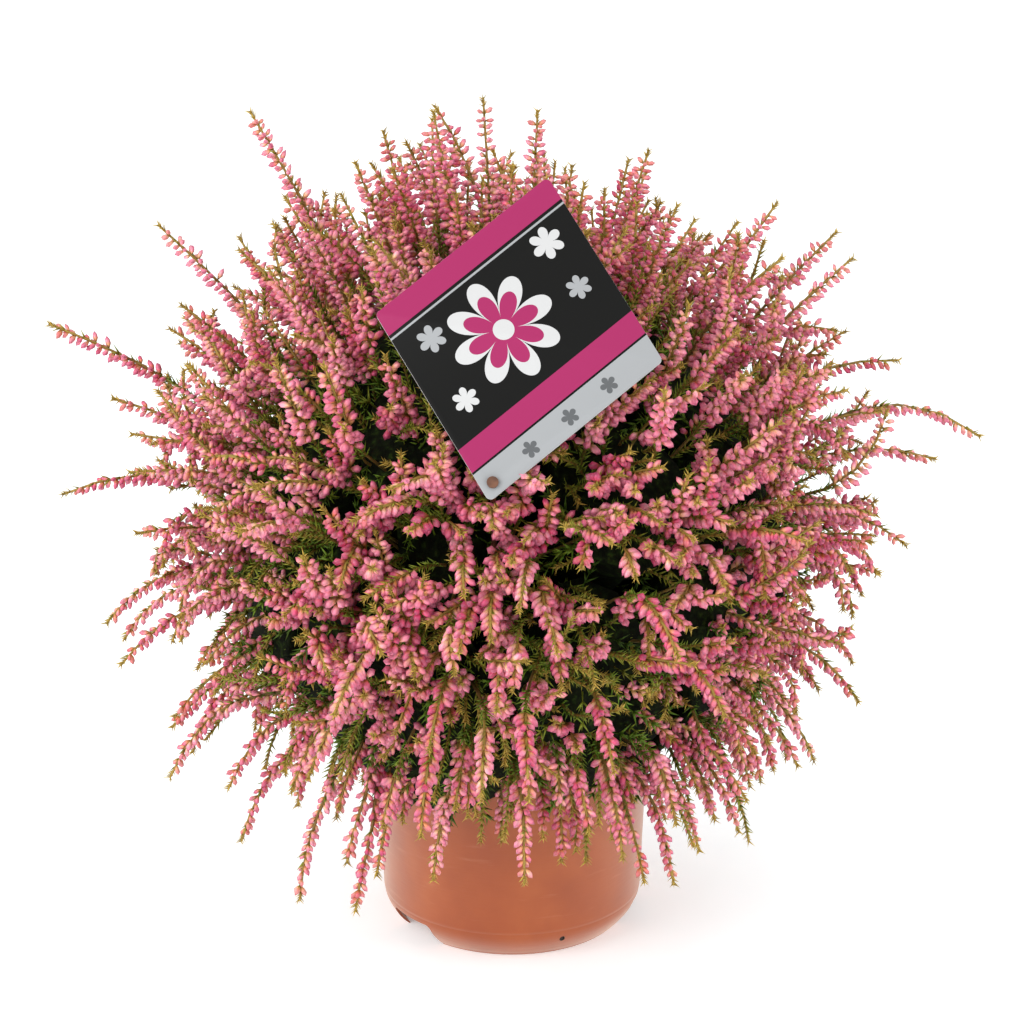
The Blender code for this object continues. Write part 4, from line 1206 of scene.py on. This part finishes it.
def room(centre, spoke, points):
    """Distance along a spoke to the first plane half way between the centre and any of the points."""
    away = points - np.array(centre)
    along = away @ np.array(spoke)
    ahead = along > 1e-9
    return ((away[ahead] ** 2).sum(axis=1) / (2 * along[ahead])).min() if ahead.any() else 1.0


def leafy_core(name, j):
    """The leafy inside of a spray: a lumpy club round its axis that fills the space up to its neighbours."""
    others = np.vstack([axis_points[i] for i in range(SPRAY_COUNT) if i != j])
    lumps = np.random.default_rng(100 + j)
    shape = bmesh.new()
    rings = []
    side = at(axes[j], CORE_STATIONS[0])[1].orthogonal()
    for t in CORE_STATIONS:
        centre, way = at(axes[j], t)
        side = (side - way * side.dot(way)).normalized()
        up = way.cross(side)
        swell = smooth(t / CORE_FULL_FROM)
        ring = []
        for i in range(CORE_SIDES):
            angle = 2 * math.pi * i / CORE_SIDES
            spoke = side * math.cos(angle) + up * math.sin(angle)
            out = min(CORE_LEAST + CORE_RADIUS * swell, CORE_ROOM * room(centre, spoke, others))
            out = min(out, CORE_ROD_ROOM * room(centre, spoke, rod_points) - CORE_ROD_GAP)
            out = max(out, MM) * lumps.uniform(*CORE_LUMPS)
            ring.append(shape.verts.new(centre + spoke * out))
        rings.append(ring)
    end = shape.verts.new(at(axes[j], CORE_STATIONS[-1] + CORE_TIP)[0])
    skin(shape, [*rings, [end]])
    shape.faces.new(list(reversed(rings[0])))
    bmesh.ops.recalc_face_normals(shape, faces=shape.faces)
    outer = shape.faces.layers.float.new("outer")
    for face in shape.faces:
        face[outer] = (face.calc_center_median() - HEART).normalized().dot(face.normal) > CORE_OUTWARD
    mesh = mesh_of(name, shape)
    mesh.shade_smooth()
    mesh.materials.append(inner_shade_skin)
    return add_piece(name, mesh)


def shoot_line(j, way, reach, nod, swing, clear, side_way):
    """A shoot's points, from inside its spray to its tip: it leaves the spray's axis part way up."""
    own = stream(way, reach, nod, swing, clear)
    line = []
    for i, (a, b) in enumerate(zip(axes[j], own)):
        t = i / SAMPLES
        point = a.lerp(b, smooth((t - FAN_FROM) / FAN_OVER))
        point += side_way * math.sin(math.pi * t) * smooth((t - WAVE_FROM) / WAVE_OVER)
        if t >= STREAM_FROM:
            line.append(point)
    return line


def clear_of_card(line):
    """Whether a line keeps away from the card, before it and behind it."""
    for across, before in map(by_card, line):
        if across < CARD_GAP_MARGIN and abs(before) < CARD_GAP:
            return False
    return True


rng = np.random.default_rng(FILLER_SEED + 1)

# What the points of each line carry for the tree.
MARKS = ("bloom_from", "bloom_to", "leafy_from", "ripeness", "plump", "girth")
for j in range(SPRAY_COUNT):
    trunk = axes[j][0:int(TRUNK_TO * SAMPLES)]
    bundle = [(trunk, TRUNK_MARKS, TRUNK_GIRTH)]
    for index in np.flatnonzero(owner == j):
        way, reach, nod, swing, sort = shoots[index]
        wave = Vector(rng.uniform(-1, 1, 3)) * WAVE
        clear = ROD_CLEAR if sort in ("long", "dome") else FINE_ROD_CLEAR
        line = shoot_line(j, way, reach, nod, swing, clear, wave)
        low, high = SPIKE_LENGTHS[sort]
        length = sum((b - a).length for a, b in zip(line, line[1:]))
        flowering = rng.uniform(low, high) * MM * (1 - FACE_SHORTER * on_face(way))
        end = 1 - BARE_TIP / length
        marks = (end - flowering / length, end, max(0.0, end - (flowering + NEEDLES_BELOW_BLOOM) / length))
        if sort == "leafy":
            marks = (end, end, 1 - LEAFY_LENGTH / length)
        if clear_of_card(line):
            plump = PLUMP[0] + (PLUMP[1] - PLUMP[0]) * on_face(way)
            bundle.append((line, (*marks, rng.uniform(), plump), SHOOT_GIRTH))
    vertices, edges, values = [], [], []
    for line, marks, (thick, thin) in bundle:
        first = len(vertices)
        vertices += [tuple(point) for point in line]
        edges += [(first + i, first + i + 1) for i in range(len(line) - 1)]
        values += [(*marks, thick + (thin - thick) * i / (len(line) - 1)) for i in range(len(line))]
    mesh = bpy.data.meshes.new(f"shoots_{j + 1:02d}")
    mesh.from_pydata(vertices, edges, [])
    for name, column in zip(MARKS, zip(*values)):
        mesh.attributes.new(name, "FLOAT", "POINT").data.foreach_set("value", column)
    spray = add_piece(f"budding_spray_{j + 1:02d}", mesh)
    core = leafy_core(f"core_{j + 1:02d}", j)
    spray = run_tree(spray, dress, {
        "Bud": bud, "Bud Spacing": BUD_SPACING, "Buds Around": BUDS_AROUND, "Bud Angle": BUD_ANGLE,
        "Needle": needle, "Needle Spacing": NEEDLE_SPACING, "Needles Around": NEEDLES_AROUND,
        "Needle Angle": NEEDLE_ANGLE, "Stem Radius": STEM_RADIUS, "Core": core, "Sprig": sprig,
        "Sprig Density": SPRIGS_PER_SQUARE_METRE, "Seed": 100 * j, "Bud Finish": bud_skin,
        "Leaf Finish": leaf_skin, "Stem Finish": stem_skin})
    bpy.data.objects.remove(core, do_unlink=True)
    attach(spray, "root")
    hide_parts(f"spray_{j + 1:02d}")
for shape_of in (bud, needle, sprig):
    bpy.data.objects.remove(shape_of)


# Label rod
# A brown plastic rod, 2.2 mm thick, pushed into the compost. It bends square through the hole near the
# card's lower corner, and a button before the card and a collar behind it hold the card.

rod_skin, tree, shader = new_material("polypropylene_brown_satin")
cloud = noise(tree, object_place(tree), 260.0, 4.0)
feed(tree, shader, {
    "Base Color": ramp(tree, cloud, [(0.35, "553524"), (0.65, "724A33")]),
    "Roughness": 0.38, "Normal": relief(tree, cloud, 0.15, 0.2 * MM),
})
coat(frame["nodes"]["label_rod"], rod_skin)


# Label card
# A diamond of printed plastic sheet, 0.8 mm thick, die cut with small rounded corners. Its print is a
# plain generic one: near black, with magenta and grey bands along two edges and an eight-petalled flower.

CARD_EDGE_ROUND = 0.12 * MM
CARD_PRINT_SPAN = 130
CARD_SHARP = math.radians(50)


def rounded_diamond(half_width, half_height, radius, steps=10):
    """The outline of a diamond whose corners are rounded by arcs that meet both sides."""
    places = [(half_width, 0), (0, half_height), (-half_width, 0), (0, -half_height)]
    corners = [Vector(place) for place in places]
    outline = []
    for i, corner in enumerate(corners):
        before = (corners[i - 1] - corner).normalized()
        after = (corners[(i + 1) % 4] - corner).normalized()
        half = before.angle(after) / 2
        centre = corner + (before + after).normalized() * radius / math.sin(half)
        first = corner + before * radius / math.tan(half) - centre
        for k in range(steps + 1):
            outline.append(tuple(centre + Matrix.Rotation((math.pi - 2 * half) * k / steps, 2) @ first))
    return outline


curve = bpy.data.curves.new("label_card", "CURVE")
curve.dimensions = "2D"
curve.fill_mode = "BOTH"
curve.extrude = CARD_THICKNESS / 2 - CARD_EDGE_ROUND
curve.bevel_depth = CARD_EDGE_ROUND
curve.bevel_resolution = 1
outer = rounded_diamond(
    CARD_HALF_WIDTH - CARD_EDGE_ROUND, CARD_HALF_HEIGHT - CARD_EDGE_ROUND, CARD_CORNER_RADIUS)
hole = [(x, y - CARD_HOLE_DROP) for x, y, _ in circle(CARD_HOLE_RADIUS + CARD_EDGE_ROUND, 32)]
for outline in (outer, hole):
    spline = curve.splines.new("POLY")
    spline.points.add(len(outline) - 1)
    for point, (x, y) in zip(spline.points, outline):
        point.co = (x, y, 0, 1)
    spline.use_cyclic_u = True
flat_card = add_piece("label_card_flat", curve)
bpy.context.view_layer.update()
mesh = bpy.data.meshes.new_from_object(flat_card.evaluated_get(bpy.context.evaluated_depsgraph_get()))
bpy.data.objects.remove(flat_card)
shape = bmesh.new()
shape.from_mesh(mesh)
bmesh.ops.remove_doubles(shape, verts=shape.verts, dist=0.01 * MM)
bmesh.ops.recalc_face_normals(shape, faces=shape.faces)
prints = shape.loops.layers.uv.verify()
bare = shape.faces.layers.float.new("bare")
for face in shape.faces:
    face[bare] = face.normal.z < 0.9
    for loop in face.loops:
        spot = loop.vert.co / (CARD_PRINT_SPAN * MM)
        loop[prints].uv = (0.5 + spot.x, 0.5 + spot.y)
card_turn = Matrix((CARD_RIGHT, CARD_UP, CARD_OUT)).transposed()
shape.transform(Matrix.Translation(CARD_CENTRE) @ card_turn.to_4x4())
card = add_piece("label_card_printed", mesh_of("label_card_printed", shape))
card.data.shade_smooth()
card.data.set_sharp_from_angle(angle=CARD_SHARP)

# Offset-printed polypropylene sheet: flat ink under a thin satin film. Edge and back are the bare, pale
# plastic. The bands and flowers are measured in millimetres from the card's middle.
card_skin, tree, shader = new_material("printed_plastic_sheet")
flat = add_node(tree, "ShaderNodeUVMap", uv_map=card.data.uv_layers[0].name)
centred = vector(tree, "ADD", [flat, (-0.5, -0.5, 0)])
mm = vector(tree, "SCALE", {0: centred, "Scale": CARD_PRINT_SPAN})
x, y = add_node(tree, "ShaderNodeSeparateXYZ", [mm]).outputs[0:2]
across = calc(tree, "MULTIPLY", x, MM / CARD_HALF_WIDTH)
falling = calc(tree, "MULTIPLY_ADD", y, -MM / CARD_HALF_HEIGHT, across)
ink = add_node(tree, "ShaderNodeRGB")
ink.outputs[0].default_value = colour("0D0D0C")
for low, high, hex_value in (
        (0.46, 0.70, "9C2A5C"), (0.72, 2.0, "9C9EA0"), (-2.0, -0.76, "9C2A5C"), (-0.73, -0.71, "9C9EA0")):
    above = calc(tree, "GREATER_THAN", falling, low)
    below = calc(tree, "LESS_THAN", falling, high)
    ink = blended(tree, calc(tree, "MULTIPLY", above, below), ink, colour(hex_value))
for centre_x, centre_y, size, petals, hex_value in (
        (-6.0, 2.0, 21.0, 8, "C4C4C4"), (-6.0, 2.0, 15.0, 8, "9C2A5C"), (-6.0, 2.0, 4.0, 0, "C4C4C4"),
        (-31.5, -6.0, 5.5, 6, "9C9EA0"), (4.0, 38.0, 6.5, 6, "C4C4C4"), (-15.0, -27.0, 5.0, 6, "C4C4C4"),
        (18.5, 23.0, 4.8, 6, "9C9EA0"), (11.5, -41.5, 3.4, 5, "5E6062"), (23.5, -27.0, 3.4, 5, "5E6062"),
        (35.5, -12.5, 3.4, 5, "5E6062")):
    off_x = calc(tree, "SUBTRACT", x, centre_x)
    off_y = calc(tree, "SUBTRACT", y, centre_y)
    turns = calc(tree, "MULTIPLY", calc(tree, "ARCTAN2", off_y, off_x), petals / 2)
    lobe = calc(tree, "POWER", calc(tree, "ABSOLUTE", calc(tree, "COSINE", turns)), 0.55)
    far = calc(tree, "MULTIPLY_ADD", lobe, 0.68 * size, 0.32 * size)
    away = add_node(tree, "ShaderNodeCombineXYZ", [off_x, off_y])
    distance = vector(tree, "LENGTH", [away]).outputs["Value"]
    ink = blended(tree, calc(tree, "LESS_THAN", distance, far), ink, colour(hex_value))
feed(tree, shader, {
    "Base Color": blended(tree, carried(tree, "bare"), ink, colour("B8B8B6")),
    "Roughness": 0.42, "Specular IOR Level": 0.16,
})
coat(card, card_skin)
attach(card, "root")
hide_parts("label_card")


# Studio
# A sheet of back-lit white acrylic that runs out of sight, a white surround, and two large soft lamps:
# the main one high on the left, a weaker one low on the right.

floor_mesh = bpy.data.meshes.new("studio_floor")
floor_mesh.from_pydata([(-6, -6, 0), (6, -6, 0), (6, 6, 0), (-6, 6, 0)], [], [(0, 1, 2, 3)])
floor = add_piece("studio_floor", floor_mesh)
acrylic, tree, shader = new_material("acrylic_white_backlit")
tooth = noise(tree, object_place(tree), 60.0, 2.0)
feed(tree, shader, {
    "Base Color": ramp(tree, tooth, [(0.3, "F0F6F7"), (0.7, "F4FAFB")]), "Roughness": 0.9,
    "Emission Color": (1, 1, 1, 1), "Emission Strength": 0.28,
})
coat(floor, acrylic)

world = bpy.data.worlds.new("white_surround")
world.use_nodes = True
world.node_tree.nodes["Background"].inputs["Color"].default_value = (1, 1, 1, 1)
world.node_tree.nodes["Background"].inputs["Strength"].default_value = 1.0
bpy.context.scene.world = world
bpy.context.scene.view_settings.view_transform = "Standard"

for name, place, size, power in (
        ("main_softbox", Vector((-1.9, -1.3, 1.5)), 1.8, 42.0),
        ("fill_softbox", Vector((1.9, -0.5, 0.7)), 1.4, 14.0)):
    lamp = bpy.data.lights.new(name, "AREA")
    lamp.size = size
    lamp.energy = power
    light = bpy.data.objects.new(name, lamp)
    light.location = place
    light.rotation_euler = (Vector((0, 0, 0.15)) - place).to_track_quat("-Z", "Y").to_euler()
    bpy.context.scene.collection.objects.link(light)
